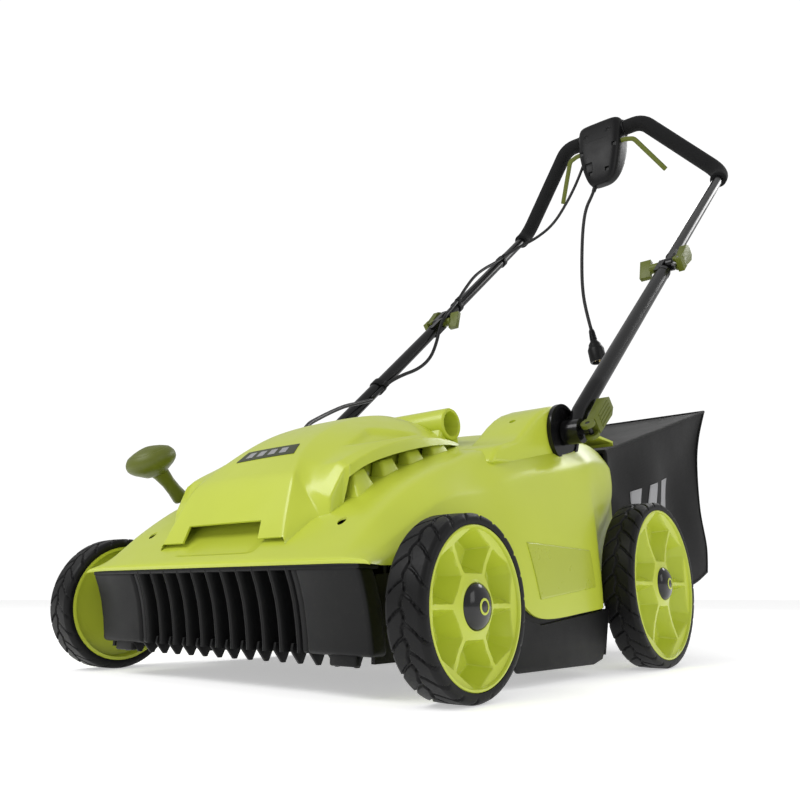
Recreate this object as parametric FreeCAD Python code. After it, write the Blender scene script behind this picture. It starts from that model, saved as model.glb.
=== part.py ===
"""Electric lawn dethatcher: a walk-behind machine with a tine reel under a green plastic deck.

Millimetres, +Z up, +Y towards the operator, +X to the operator's left.
Stations along the machine (the y values below) are measured back from the front axle; export()
moves every piece so that the origin lies on the ground under the middle of the overall length.
"""
import FreeCAD, Part
import math
import os

V = FreeCAD.Vector
os.makedirs("parts", exist_ok=True)

# ---------------------------------------------------------------- driving dimensions
MID_LENGTH_Y = 471.6            # middle of the overall length, behind the front axle

FRONT_WHEEL_R = 77.5
REAR_WHEEL_R = 100.0
WHEELBASE = 420.0
TYRE_W = 39.5
FRONT_WHEEL_X = 241.5           # inboard face of the front tyres
REAR_WHEEL_X = 236.0            # inboard face of the rear tyres
AXLE_R = 6.0
RUN_FIT = 0.05                  # radial clearance of every running fit

WALL = 3.0                      # moulded covers
CHASSIS_X = 200.0               # outer face of the chassis side plates
PLATE = 4.0

REEL_Y, REEL_Z = 205.0, 62.0
REEL_R = 55.0                   # over the tips of the tines
CHAMBER_R = 66.0
REEL_SHAFT_R = 8.0
TINE_RODS = 4
TINES_PER_ROD = 11
TINE_PITCH = 33.0
TINE_ROD_ORBIT = 28.0
TINE_ROD_R = 3.0
TINE_WIRE_R = 1.4

MOTOR_Y, MOTOR_Z = 100.0, 165.0
MOTOR_R = 44.0
MOTOR_SHAFT_R = 5.0
SMALL_PULLEY_R = 12.0
BIG_PULLEY_R = 36.0
BELT_X, BELT_W, BELT_T = 203.5, 9.0, 2.4
BELT_GAP = 0.3

CRANK_Y, CRANK_Z = 48.0, 88.0   # cross shaft of the height adjuster
CRANK_R = 8.0
CRANK_ARM_X = 221.0
CRANK_ARM_T = 10.0

HANDLE_X = 231.0                # tube centre planes
PIVOT_Y, PIVOT_Z = 296.0, 278.0
LOWER_TUBE_R = 11.0
JOINT_Y, JOINT_Z = 645.0, 609.0
UPPER_TUBE_R = 9.75
TUBE_WALL = 1.5
BEND_LOW = (231.0, 1009.0, 935.0)
BEND_HIGH = (90.5, 959.5, 1089.0)
BAR_BEND_R = 42.0
FOAM_R = 16.0
PIVOT_BOLT_R = 5.0
EYE_X = 225.0                   # the lower tube steps in to this plane at its pivot
PIVOT_PIN_X = 246.5
CLAMP_BOLT_R = 4.0
LEVER_PIN_R = 3.0

LEAD_R = 3.2
PIGTAIL_R = 3.6

GRIP_Y, GRIP_Z = 188.0, 284.0   # carrying tube across the back of the hood
GRIP_R, GRIP_BORE_R, GRIP_HALF = 19.5, 14.3, 121.0


# ---------------------------------------------------------------- small shape tools
def box(x0, x1, y0, y1, z0, z1):
    return Part.makeBox(x1 - x0, y1 - y0, z1 - z0, V(x0, y0, z0))


def cyl_x(r, x0, x1, y, z):
    return Part.makeCylinder(r, x1 - x0, V(x0, y, z), V(1, 0, 0))


def ring_x(r_out, r_in, x0, x1, y, z):
    return cyl_x(r_out, x0, x1, y, z).cut(cyl_x(r_in, x0 - 1, x1 + 1, y, z))


def rod(p, q, r):
    p, q = V(*p), V(*q)
    return Part.makeCylinder(r, (q - p).Length, p, q - p)


def prism_x(points_yz, x0, x1):
    loop = [V(x0, y, z) for y, z in points_yz]
    return Part.Face(Part.makePolygon(loop + loop[:1])).extrude(V(x1 - x0, 0, 0))


def slab_yz(p, q, thickness, x0, x1):
    """A flat wall seen edge-on in the side view, from p to q, with its thickness on the left."""
    dy, dz = q[0] - p[0], q[1] - p[1]
    size = math.hypot(dy, dz)
    ny, nz = -dz / size * thickness, dy / size * thickness
    return prism_x([p, q, (q[0] + ny, q[1] + nz), (p[0] + ny, p[1] + nz)], x0, x1)


def lathe_x(profile_xr, y, z):
    """Turn a profile of (x, radius) points about a line along X."""
    loop = [V(x, y, z + r) for x, r in profile_xr]
    face = Part.Face(Part.makePolygon(loop + loop[:1]))
    return face.revolve(V(0, y, z), V(1, 0, 0), 360)


def fuse(shapes):
    shapes = list(shapes)
    whole = shapes[0].multiFuse(shapes[1:]) if len(shapes) > 1 else shapes[0]
    return whole.removeSplitter()


def mirror_x(shape):
    return shape.mirror(V(0, 0, 0), V(1, 0, 0))


def both_sides(shape):
    return [shape, mirror_x(shape)]


def export(name, *shapes):
    """Write one sub-part; several shapes stay separate solids of one group."""
    solids = []
    for shape in shapes:
        solids += shape.Solids
    whole = solids[0] if len(solids) == 1 else Part.makeCompound(solids)
    whole = whole.copy()
    whole.translate(V(0, -MID_LENGTH_Y, 0))
    whole.exportStep(f"parts/{name}.step")
    state = "" if whole.isValid() else "  NOT VALID"
    print(f"{name}: {len(solids)} solid(s), {whole.Volume / 1000:.1f} cm3{state}")


# ---------------------------------------------------------------- bent tubes and cords
def route_edges(points, radii):
    """Straight runs joined by tangent arcs of the given radii."""
    pts = [V(*p) for p in points]
    edges, start = [], pts[0]
    for i, radius in enumerate(radii, start=1):
        before = (pts[i] - pts[i - 1]).normalize()
        after = (pts[i + 1] - pts[i]).normalize()
        half = before.getAngle(after) / 2
        setback = radius * math.tan(half)
        a, b = pts[i] - before * setback, pts[i] + after * setback
        middle_way = (after - before).normalize()
        centre = pts[i] + middle_way * (radius / math.cos(half))
        edges.append(Part.LineSegment(start, a).toShape())
        edges.append(Part.Arc(a, centre - middle_way * radius, b).toShape())
        start = b
    edges.append(Part.LineSegment(start, pts[-1]).toShape())
    return edges


def sweep(points, radii, r):
    edges = route_edges(points, radii)
    start = V(*points[0])
    way = V(*points[1]) - start
    circle = Part.Wire(Part.makeCircle(r, start, way))
    return Part.Wire(edges).makePipeShell([circle], True, True)


def hollow_tube(points, radii, r, wall):
    return sweep(points, radii, r).cut(sweep(points, radii, r - wall))


def cord_radii(points):
    """The largest tangent arcs that the runs of a cord's route allow."""
    pts = [V(*p) for p in points]
    radii = []
    for a, b, c in zip(pts, pts[1:], pts[2:]):
        turn = (b - a).getAngle(c - b)
        run = min((b - a).Length, (c - b).Length)
        radii.append(0.45 * run / math.tan(turn / 2))
    return radii


def cord(name, points, r):
    radii = cord_radii(points)
    solid = sweep(points, radii, r)
    length = sum(edge.Length for edge in route_edges(points, radii))
    share = solid.Volume / (math.pi * r * r * length)
    print(f"{name}: {length:.0f} mm long, volume over section x length {share:.3f}, arc radii",
          [round(radius) for radius in radii])
    return solid


# ---------------------------------------------------------------- lofted covers
def offset_inwards(half, thickness):
    """Move an open outline, centre line first, by the wall thickness towards the inside."""
    moved = []
    for i, (x, z) in enumerate(half):
        x0, z0 = half[max(i - 1, 0)]
        x1, z1 = half[min(i + 1, len(half) - 1)]
        size = math.hypot(x1 - x0, z1 - z0)
        nx, nz = (z0 - z1) / size, (x1 - x0) / size
        moved.append((x - nx * thickness, z - nz * thickness))
    moved[0] = (0.0, half[0][1] - thickness)
    return moved


def section(y, outer, inner=None):
    def both(half):
        return [V(-x, y, z) for x, z in reversed(half[1:])] + [V(x, y, z) for x, z in half]
    loop = both(outer)
    if inner:
        loop += list(reversed(both(inner)))
    return Part.makePolygon(loop + loop[:1])


def loft_shell(stations, thickness):
    wires = [section(y, half, offset_inwards(half, thickness)) for y, half in stations]
    return Part.makeLoft(wires, True, True)


def loft_solid(stations):
    return Part.makeLoft([section(y, half) for y, half in stations], True, True)


# Half outlines of the deck, centre line to lower edge: crown, inner top, top edge, crease,
# upper side, lower side, lower edge.  It is low and flat in front, swells behind the front
# wheels to make room for the belt, and steps in again ahead of the rear wheels.
DECK = [
    (-68, [(0, 114), (100, 114), (185, 114), (207, 113.5), (214, 113), (217, 112.5), (219, 112)]),
    (-47, [(0, 135), (100, 135), (185, 133.5), (210, 123), (216, 118), (218, 114), (219, 111)]),
    (-23, [(0, 160), (100, 160), (186, 157), (212, 138), (217, 127), (218.5, 120), (219, 113)]),
    (17, [(0, 191), (100, 190), (186, 186), (214, 163), (218, 150), (219, 140), (219.5, 128)]),
    (51, [(0, 210), (100, 208), (187, 203), (215, 180), (219, 165), (220, 150), (220, 130)]),
    (85, [(0, 226), (100, 222), (188, 217), (216, 185), (222, 166), (226, 148), (228, 128)]),
    (112, [(0, 236), (100, 232), (188, 227), (218, 190), (229, 162), (238, 128), (242, 105)]),
    (135, [(0, 246), (100, 241), (189, 236), (220, 202), (236, 160), (243, 110), (244.5, 70)]),
    (170, [(0, 258), (100, 252), (190, 245), (222, 214), (238, 165), (244.5, 110), (245.5, 60)]),
    (245, [(0, 284), (100, 280), (192, 262), (224, 228), (239, 170), (245, 115), (245.5, 67)]),
    (300, [(0, 296), (100, 292), (195, 270), (226, 238), (239, 175), (245, 115), (245.5, 71)]),
    (318, [(0, 299), (100, 295), (197, 274), (228, 242), (237, 178), (243, 115), (243.5, 73)]),
    (332, [(0, 300), (100, 297), (198, 277), (229, 245), (231, 183), (217, 120), (216, 80)]),
    (383, [(0, 298), (100, 296), (198, 280), (225, 250), (228, 196), (210, 168), (209, 115)]),
    (403, [(0, 296), (100, 294), (196, 278), (221, 244), (225, 212), (208, 180), (207, 113)]),
    (430, [(0, 288), (100, 287), (190, 276), (203, 258), (206, 228), (206, 180), (206, 113)]),
]

# The hood: a stepped wedge whose sides end in an overhanging lip above the air vents.
HOOD = [
    (-52, [(0, 126), (60, 126), (84, 126), (94, 125), (97, 123), (97, 121), (97, 116)]),
    (-45, [(0, 160), (60, 160), (86, 157), (93, 150), (96, 144), (96, 138), (96, 120)]),
    (-27, [(0, 203), (60, 202), (82, 200), (96, 184), (106, 166), (106, 158), (106, 140)]),
    (0, [(0, 232), (60, 231), (80, 228), (102, 212), (126, 194), (122, 186), (121, 160)]),
    (19, [(0, 250), (60, 249), (81, 245), (108, 230), (134, 212), (121, 206), (119, 180)]),
    (50, [(0, 273), (60, 271), (84, 266), (112, 250), (135, 227), (121, 221), (119, 190)]),
    (90, [(0, 289), (60, 287), (88, 282), (114, 264), (135, 240), (121, 234), (119, 205)]),
    (142, [(0, 302), (60, 299), (90, 292), (114, 275), (134, 252), (121, 246), (119, 220)]),
    (185, [(0, 300), (60, 298), (90, 291), (112, 277), (128, 262), (121, 256), (119, 235)]),
    (215, [(0, 288), (60, 286), (88, 281), (106, 270), (122, 262), (120, 258), (118, 240)]),
    (240, [(0, 274), (60, 273), (84, 268), (100, 262), (116, 256), (116, 252), (116, 240)]),
]
DECK_SOLID = loft_solid(DECK)


def cover_screw_places():
    """Screw axes through the deck: x, y, and the height of the screw's seat."""
    return [(sx * 150.0, y, seat) for y, seat in ((-28.0, 140.0), (375.0, 255.0)) for sx in (-1, 1)]


def deck_cover():
    shell = loft_shell(DECK, WALL)
    rear_wall = box(-240, 240, 426, 430, 113, 300).common(DECK_SOLID)
    rear_wall = rear_wall.cut(box(-178, 178, 420, 440, 119, 262))
    deck = fuse([shell, rear_wall])
    for x, y, seat in cover_screw_places():
        deck = deck.cut(Part.makeCylinder(4.5, 60, V(x, y, seat)))
    return deck


def cover_screws():
    for x, y, seat in cover_screw_places():
        head = Part.makeCylinder(4.2, 2.6, V(x, y, seat))
        shank = Part.makeCylinder(2.0, 14, V(x, y, seat - 14))
        socket = Part.makeCylinder(1.6, 1.6, V(x, y, seat + 1.0))
        yield head.fuse(shank).cut(socket).removeSplitter()


def motor_hood(lead_solid):
    shell = loft_shell(HOOD, WALL)
    grip = cyl_x(GRIP_R, -GRIP_HALF, GRIP_HALF, GRIP_Y, GRIP_Z)
    hood = fuse([shell, grip]).cut(cyl_x(GRIP_BORE_R, -200, 200, GRIP_Y, GRIP_Z))
    intake = prism_x([(-70, 100), (-70, 158), (-30, 158), (-30, 100)], -58, 58)
    hood = hood.cut(intake).cut(DECK_SOLID).cut(lead_solid)
    return max(hood.Solids, key=lambda solid: solid.Volume)


# ---------------------------------------------------------------- front guard and chassis
GUARD_PROFILE = [(-66.5, 110.5), (-60, 96), (-54.5, 80), (-50.5, 62), (-48, 46), (-47, 36)]
GUARD_HALF = 207.0
RIB_COUNT = 11
RIB_HALF_SPAN = 117.0
RIB_T = 7.0
RIB_DEPTH = 16.0
FIN_T = 3.5


def guard_band(x0, x1, setback, thickness):
    front = [(y + setback, z) for y, z in GUARD_PROFILE]
    back = [(y + setback + thickness, z) for y, z in reversed(GUARD_PROFILE)]
    return prism_x(front + back, x0, x1)


def front_guard():
    pitch = 2 * RIB_HALF_SPAN / (RIB_COUNT - 1)
    parts = [guard_band(-RIB_HALF_SPAN, RIB_HALF_SPAN, RIB_DEPTH, PLATE)]
    parts.append(box(-RIB_HALF_SPAN, RIB_HALF_SPAN, -67 + PLATE, -67 + RIB_DEPTH + PLATE, 104, 110.5))
    for i in range(RIB_COUNT):
        x = -RIB_HALF_SPAN + i * pitch
        parts.append(guard_band(x - RIB_T / 2, x + RIB_T / 2, -2.0, RIB_DEPTH + PLATE))
    outer = RIB_HALF_SPAN + RIB_T / 2
    parts += both_sides(guard_band(outer - 1, GUARD_HALF, 0, PLATE))
    parts += both_sides(box(GUARD_HALF - PLATE, GUARD_HALF, -50, -40, 36, 110.5))
    parts += both_sides(guard_band(GUARD_HALF - PLATE, GUARD_HALF, 0, 14))
    parts.append(box(-GUARD_HALF, GUARD_HALF, -47, -40, 34, 38))
    for i in range(RIB_COUNT + 2):
        x = -RIB_HALF_SPAN - pitch / 2 + i * pitch
        fin = prism_x([(-46.5, 35), (-46.5, 25), (-44.5, 25), (-14, 36), (-40, 37)], x, x + FIN_T)
        parts.append(fin)
    return fuse(parts)


def chassis():
    side = [(-38, 30), (-38, 104), (172, 121), (424, 252), (424, 84), (275, 30)]
    inner = CHASSIS_X - PLATE
    parts = both_sides(prism_x(side, inner, CHASSIS_X))
    ring = cyl_x(CHAMBER_R + PLATE, -inner - 1, inner + 1, REEL_Y, REEL_Z)
    ring = ring.cut(cyl_x(CHAMBER_R, -300, 300, REEL_Y, REEL_Z))
    front_sector = [(REEL_Y, REEL_Z), (90, 20), (90, 160), (120, 220)]
    rear_sector = [(REEL_Y, REEL_Z), (300, 97), (300, 27)]
    parts.append(ring.common(prism_x(front_sector, -300, 300)))
    parts.append(ring.common(prism_x(rear_sector, -300, 300)))
    roof_angle = math.radians(28)
    roof_y = REEL_Y - CHAMBER_R * math.sin(roof_angle)
    roof_z = REEL_Z + CHAMBER_R * math.cos(roof_angle)
    roof_end = 424.0
    roof_top = roof_z + (roof_end - roof_y) * math.tan(roof_angle)
    parts.append(slab_yz((roof_y - 3, roof_z - 1.6), (roof_end, roof_top), PLATE, -inner - 1, inner + 1))
    parts.append(slab_yz((425, 112), (267.5, 84.6), PLATE, -inner - 1, inner + 1))
    parts.append(box(-inner - 1, inner + 1, -24, 139, 45, 49))
    parts.append(box(-inner - 1, inner + 1, -24, -20, 45, 130))
    for x in (-60.0, 50.0):
        parts.append(box(x, x + 10, 66, 134, 46, 150))
    for x, y, seat in cover_screw_places():
        base = 47.0 if y < 100 else roof_z + (y - roof_y) * math.tan(roof_angle)
        parts.append(Part.makeCylinder(6, seat - base, V(x, y, base)))
    body = fuse(parts)
    body = body.cut(cyl_x(MOTOR_R, -80, 80, MOTOR_Y, MOTOR_Z))
    body = body.cut(cyl_x(CRANK_R + RUN_FIT, -300, 300, CRANK_Y, CRANK_Z))
    body = body.cut(cyl_x(AXLE_R, -300, 300, WHEELBASE, REAR_WHEEL_R))
    body = body.cut(cyl_x(16, -300, 300, REEL_Y, REEL_Z).common(
        fuse(both_sides(box(inner - 3, CHASSIS_X + 3, 0, 400, 0, 200)))))
    for x, y, seat in cover_screw_places():
        body = body.cut(Part.makeCylinder(2.0, 14, V(x, y, seat - 14)))
    body = body.cut(loft_shell(DECK, WALL + 0.3))
    return max(body.Solids, key=lambda solid: solid.Volume)


def side_skirt():
    """Black lower skirt under the swollen side of the deck, with its two returns."""
    outline = [(112, 19), (118, 14), (276, 12.5), (298, 17), (306, 30), (318, 71), (166, 57), (112, 68)]
    outer = 245.0
    wall = prism_x(outline, outer - PLATE, outer)
    front = box(CHASSIS_X, outer, 112, 115.5, 19, 104)
    rear = slab_yz((318, 71), (303, 22), PLATE, CHASSIS_X, outer)
    skirt = fuse([wall, front, rear]).cut(loft_shell(DECK, WALL + 0.3))
    return max(skirt.Solids, key=lambda solid: solid.Volume)


def pivot_cover():
    """Raised housing on the deck that carries one handle bracket."""
    outline = [(150, 225), (158, 246), (205, 272), (239, 294), (262, 304), (300, 315), (325, 305), (334, 225)]
    inner = [(165, 220), (165, 246), (207, 268), (241, 290), (264, 300), (300, 311), (322, 302), (330, 220)]
    cover = prism_x(outline, 150, 208).cut(prism_x(inner, 153, 204)).cut(DECK_SOLID)
    return max(cover.Solids, key=lambda solid: solid.Volume)


# ---------------------------------------------------------------- wheels and axles
RIM_LIP = 9.7                   # how far the tyre stands outside the rim
SPOKES = 6


def tyre(radius, x0):
    rim_r = radius - RIM_LIP
    x1 = x0 + TYRE_W
    profile = [(x0, rim_r), (x0, radius - 4.5), (x0 + 4, radius - 1.2), (x0 + 9, radius),
               (x1 - 9, radius), (x1 - 4, radius - 1.2), (x1, radius - 4.5), (x1, rim_r)]
    return profile


def wheel_rim(radius, x0, y, z):
    """One moulding: barrel, lip, six deep spokes, web and hub; the outer face is at x1."""
    rim_r = radius - RIM_LIP
    x1 = x0 + TYRE_W
    barrel = lathe_x([(x0, rim_r), (x1, rim_r), (x1, rim_r - 5), (x1 - 4, rim_r - 9), (x1 - 24, rim_r - 11),
                      (x1 - 26, rim_r - 5), (x0, rim_r - 4)], y, z)
    hub = lathe_x([(x0 + 2, AXLE_R + RUN_FIT), (x0 + 2, 15), (x1 - 26, 24), (x1 - 3, 22), (x1 - 3, 14),
                   (x1 - 8, 14), (x1 - 8, AXLE_R + RUN_FIT)], y, z)
    web = ring_x(rim_r - 8, 16, x1 - 26, x1 - 23, y, z)
    parts = [barrel, hub, web]
    for i in range(SPOKES):
        angle = 360.0 / SPOKES * i
        spoke = prism_spoke(x1, rim_r)
        spoke.rotate(V(0, 0, 0), V(1, 0, 0), angle)
        spoke.translate(V(0, y, z))
        parts.append(spoke)
    return fuse(parts)


def prism_spoke(x1, rim_r):
    """A spoke along +Z about the X axis, wider at the rim than at the hub."""
    inner_r, outer_r = 19.0, rim_r - 6
    loop = [V(x1 - 24, -4, inner_r), V(x1 - 24, 4, inner_r), V(x1 - 24, 9, outer_r), V(x1 - 24, -9, outer_r)]
    return Part.Face(Part.makePolygon(loop + loop[:1])).extrude(V(20.0, 0, 0))


def hub_cap(x0, y, z):
    x1 = x0 + TYRE_W
    return lathe_x([(x1 - 3, 0), (x1 - 3, 20), (x1 + 2, 20), (x1 + 6, 15), (x1 + 7.5, 8), (x1 + 8, 0)], y, z)


def export_wheel(name, radius, x0, y, side):
    z = radius
    pieces = {
        "tyre": lathe_x(tyre(radius, x0), y, z),
        "rim": wheel_rim(radius, x0, y, z),
        "hub_cap": hub_cap(x0, y, z),
    }
    for piece, shape in pieces.items():
        export(f"{name}_{piece}", shape if side > 0 else mirror_x(shape))


def rear_axle():
    end = REAR_WHEEL_X + TYRE_W - 8 + 0.5
    shaft = cyl_x(AXLE_R, -end, end, WHEELBASE, REAR_WHEEL_R)
    heads = both_sides(cyl_x(9, end - 0.1, end + 3.5, WHEELBASE, REAR_WHEEL_R))
    collars = both_sides(ring_x(10, AXLE_R - 0.5, REAR_WHEEL_X - 6, REAR_WHEEL_X + 1.5, WHEELBASE, REAR_WHEEL_R))
    return fuse([shaft] + heads + collars)


def height_crank():
    """Cross shaft, two arms and the front stub axles, welded into one piece."""
    arm_end = CRANK_ARM_X + CRANK_ARM_T
    parts = [cyl_x(CRANK_R, -arm_end, arm_end, CRANK_Y, CRANK_Z)]
    stub_end = FRONT_WHEEL_X + TYRE_W - 8 + 0.5
    arm = cyl_x(13, CRANK_ARM_X, arm_end, CRANK_Y, CRANK_Z)
    arm = arm.fuse(cyl_x(11, CRANK_ARM_X, arm_end, 0, FRONT_WHEEL_R))
    arm = arm.fuse(slab_yz((0, FRONT_WHEEL_R - 9), (CRANK_Y, CRANK_Z - 9), 18, CRANK_ARM_X, arm_end))
    arm = arm.fuse(cyl_x(AXLE_R, arm_end - 1, stub_end, 0, FRONT_WHEEL_R))
    arm = arm.fuse(cyl_x(9, stub_end - 0.1, stub_end + 3.5, 0, FRONT_WHEEL_R))
    arm = arm.fuse(cyl_x(10, arm_end - 1, FRONT_WHEEL_X + 1.5, 0, FRONT_WHEEL_R))
    return fuse(parts + both_sides(arm))


KNOB_BASE = (-226.0, 61.0, 209.0)
STEM_RISE = 41.5                # slope of the lever's top end and of the knob's stem, degrees
CAP_RISE = 62.0                 # slope of the axis of the knob's cap
CAP_AT = 66.0                   # middle of the cap, along the stem


def up_the_stem(distance):
    rise = math.radians(STEM_RISE)
    x, y, z = KNOB_BASE
    return x, y - distance * math.cos(rise), z + distance * math.sin(rise)


def height_lever():
    foot = (KNOB_BASE[0], CRANK_Y + 4, CRANK_Z + 12.5)
    elbow = up_the_stem(-7)
    return sweep([foot, elbow, up_the_stem(12)], [9.0], 4.5)


def turned_on(axis_rise, place, profile_rh):
    """Turn a profile of (radius, height) points about an axis that leans forward and up."""
    loop = [V(r, 0, h) for r, h in profile_rh]
    body = Part.Face(Part.makePolygon(loop + loop[:1])).revolve(V(0, 0, 0), V(0, 0, 1), 360)
    body.rotate(V(0, 0, 0), V(1, 0, 0), 90 - axis_rise)
    body.translate(V(*place))
    return body


def height_knob():
    """Mushroom knob: a tapered stem on the lever, and a domed cap that leans less."""
    stem = turned_on(STEM_RISE, KNOB_BASE, [(0, 0), (9.5, 0), (10.5, 3), (9, 34), (13, 52), (0, 60)])
    cap = turned_on(CAP_RISE, up_the_stem(CAP_AT),
                    [(0, -19), (14, -17), (27, -9), (32, -2), (31.5, 5), (26, 13), (14, 18.5), (0, 20)])
    socket = rod(up_the_stem(-1), up_the_stem(12), 4.5)
    return fuse([stem, cap]).cut(socket)


# ---------------------------------------------------------------- reel, motor and belt drive
def tine_carrier():
    """Sleeve with four end and middle plates, and the rods that hold the tines."""
    half = 186.0
    sleeve = ring_x(12, REEL_SHAFT_R, -half, half, REEL_Y, REEL_Z)
    plates = []
    for x in (-half, -62.0, 58.0, half - 4):
        plates.append(ring_x(34, REEL_SHAFT_R + 1, x, x + 4, REEL_Y, REEL_Z))
    body = fuse([sleeve] + plates)
    rods = []
    for i in range(TINE_RODS):
        angle = math.radians(45 + 90 * i)
        y = REEL_Y + TINE_ROD_ORBIT * math.cos(angle)
        z = REEL_Z + TINE_ROD_ORBIT * math.sin(angle)
        body = body.cut(cyl_x(TINE_ROD_R, -half - 1, half + 1, y, z))
        rods.append(cyl_x(TINE_ROD_R, -half, half, y, z))
    return [body] + rods


def spring_tines():
    """Sprung wire tines: a coil round the rod and a prong out to the reel's full radius."""
    coil_r = TINE_ROD_R + TINE_WIRE_R + 0.2
    solids = []
    for i in range(TINE_RODS):
        angle = 45.0 + 90.0 * i
        for j in range(TINES_PER_ROD):
            x = (j - (TINES_PER_ROD - 1) / 2) * TINE_PITCH + (TINE_PITCH / TINE_RODS) * (i - 1.5)
            if min(abs(x - p) for p in (-186, -60, 60, 186)) < 5:
                x += 9
            coil = ring_x(coil_r + TINE_WIRE_R, TINE_ROD_R + 0.1, x - 3, x + 3, TINE_ROD_ORBIT, 0)
            prong = rod((x, TINE_ROD_ORBIT - 1, coil_r), (x, REEL_R - 1.0, coil_r - 6), TINE_WIRE_R)
            tine = coil.fuse(prong).removeSplitter()
            tine = tine.cut(cyl_x(TINE_ROD_R + 0.1, x - 9, x + 9, TINE_ROD_ORBIT, 0))
            tine.rotate(V(0, 0, 0), V(1, 0, 0), angle)
            tine.translate(V(0, REEL_Y, REEL_Z))
            solids.append(max(tine.Solids, key=lambda solid: solid.Volume))
    return solids


def pulley(radius, bore, y, z):
    x0, x1 = BELT_X - 1.5, BELT_X + BELT_W + 1.5
    body = ring_x(radius, bore, x0, x1, y, z)
    flanges = [ring_x(radius + 3.4, bore, x0 - 0.1, x0 + 1.2, y, z),
               ring_x(radius + 3.4, bore, x1 - 1.2, x1 + 0.1, y, z)]
    return fuse([body] + flanges)


def drive_belt():
    """Open belt round the two pulleys, with a small gap so that only the pulleys turn."""
    span = math.hypot(REEL_Y - MOTOR_Y, REEL_Z - MOTOR_Z)
    line = math.atan2(REEL_Z - MOTOR_Z, REEL_Y - MOTOR_Y)
    lean = math.asin((BIG_PULLEY_R - SMALL_PULLEY_R) / span)

    def loop(extra):
        small, big = SMALL_PULLEY_R + extra, BIG_PULLEY_R + extra
        ends = []
        for sign in (1, -1):
            way = line + sign * (math.pi / 2 + lean)
            ends.append(((MOTOR_Y + small * math.cos(way), MOTOR_Z + small * math.sin(way)),
                         (REEL_Y + big * math.cos(way), REEL_Z + big * math.sin(way))))
        x = BELT_X
        (s1, b1), (s2, b2) = ends
        back_small = (MOTOR_Y - small * math.cos(line), MOTOR_Z - small * math.sin(line))
        far_big = (REEL_Y + big * math.cos(line), REEL_Z + big * math.sin(line))
        points = [V(x, *p) for p in (s1, b1, far_big, b2, s2, back_small)]
        edges = [Part.LineSegment(points[0], points[1]).toShape(),
                 Part.Arc(points[1], points[2], points[3]).toShape(),
                 Part.LineSegment(points[3], points[4]).toShape(),
                 Part.Arc(points[4], points[5], points[0]).toShape()]
        return Part.Face(Part.Wire(edges)).extrude(V(BELT_W, 0, 0))

    return loop(BELT_GAP + BELT_T).cut(loop(BELT_GAP))


def motor_can():
    can = ring_x(MOTOR_R, MOTOR_R - 3, -70, 72, MOTOR_Y, MOTOR_Z)
    end_caps = [ring_x(MOTOR_R, MOTOR_SHAFT_R + RUN_FIT, 70, 76, MOTOR_Y, MOTOR_Z),
                ring_x(MOTOR_R, MOTOR_SHAFT_R + RUN_FIT, -76, -70, MOTOR_Y, MOTOR_Z)]
    magnets = ring_x(MOTOR_R - 2.5, 33, -45, 45, MOTOR_Y, MOTOR_Z)
    return fuse([can, magnets] + end_caps)


def armature():
    return fuse([cyl_x(MOTOR_SHAFT_R, -96, 213.5, MOTOR_Y, MOTOR_Z),
                 cyl_x(32, -42, 42, MOTOR_Y, MOTOR_Z), cyl_x(16, 46, 66, MOTOR_Y, MOTOR_Z)])


def cooling_fan():
    disc = ring_x(34, MOTOR_SHAFT_R, -94, -91.5, MOTOR_Y, MOTOR_Z)
    hub = ring_x(9, MOTOR_SHAFT_R, -94, -79, MOTOR_Y, MOTOR_Z)
    blades = []
    for i in range(9):
        blade = box(-92, -81, -1, 1, 8.6, 33)
        blade.rotate(V(0, 0, 0), V(1, 0, 0), 40.0 * i)
        blade.translate(V(0, MOTOR_Y, MOTOR_Z))
        blades.append(blade)
    return fuse([disc, hub] + blades)


# ---------------------------------------------------------------- handle
def unit(a, b):
    dy, dz = b[0] - a[0], b[1] - a[1]
    size = math.hypot(dy, dz)
    return dy / size, dz / size


LEG_WAY = unit((JOINT_Y, JOINT_Z), BEND_LOW[1:])
TUBE_TO_JOINT = 30.0            # round tube stops this far from the fold bolt
TONGUE_HALF_W = 11.0


def along_leg(s):
    return JOINT_Y + LEG_WAY[0] * s, JOINT_Z + LEG_WAY[1] * s


def tongue(x0, x1, s_tube):
    """Flattened tube end: a bar with a round nose about the fold bolt."""
    ny, nz = -LEG_WAY[1] * TONGUE_HALF_W, LEG_WAY[0] * TONGUE_HALF_W
    (ay, az), (by, bz) = along_leg(0), along_leg(s_tube)
    bar = prism_x([(ay + ny, az + nz), (by + ny, bz + nz), (by - ny, bz - nz), (ay - ny, az - nz)], x0, x1)
    return bar.fuse(cyl_x(TONGUE_HALF_W, x0, x1, JOINT_Y, JOINT_Z))


def lower_handle():
    end = along_leg(-TUBE_TO_JOINT)
    face = EYE_X - LOWER_TUBE_R + 0.5
    points = [(HANDLE_X,) + end, (HANDLE_X,) + along_leg(-395), (EYE_X, 316, 306), (EYE_X, 293, 271)]
    tube = hollow_tube(points, [60.0, 30.0], LOWER_TUBE_R, TUBE_WALL)
    tube = tube.cut(cyl_x(30, 200, face, PIVOT_Y, PIVOT_Z))
    eye = cyl_x(15, face, EYE_X + LOWER_TUBE_R, PIVOT_Y, PIVOT_Z)
    plug = tongue(HANDLE_X - 10, HANDLE_X - 0.2, -TUBE_TO_JOINT - 10)
    cap_start, cap_end = along_leg(-TUBE_TO_JOINT - 7), along_leg(-TUBE_TO_JOINT + 1)
    cap = rod((HANDLE_X,) + cap_start, (HANDLE_X,) + cap_end, LOWER_TUBE_R + 0.6)
    leg = tube.fuse([eye, plug, cap])
    leg = leg.cut(cyl_x(PIVOT_BOLT_R + RUN_FIT, 200, 260, PIVOT_Y, PIVOT_Z))
    return leg.cut(cyl_x(CLAMP_BOLT_R + RUN_FIT, 200, 260, JOINT_Y, JOINT_Z))


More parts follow.
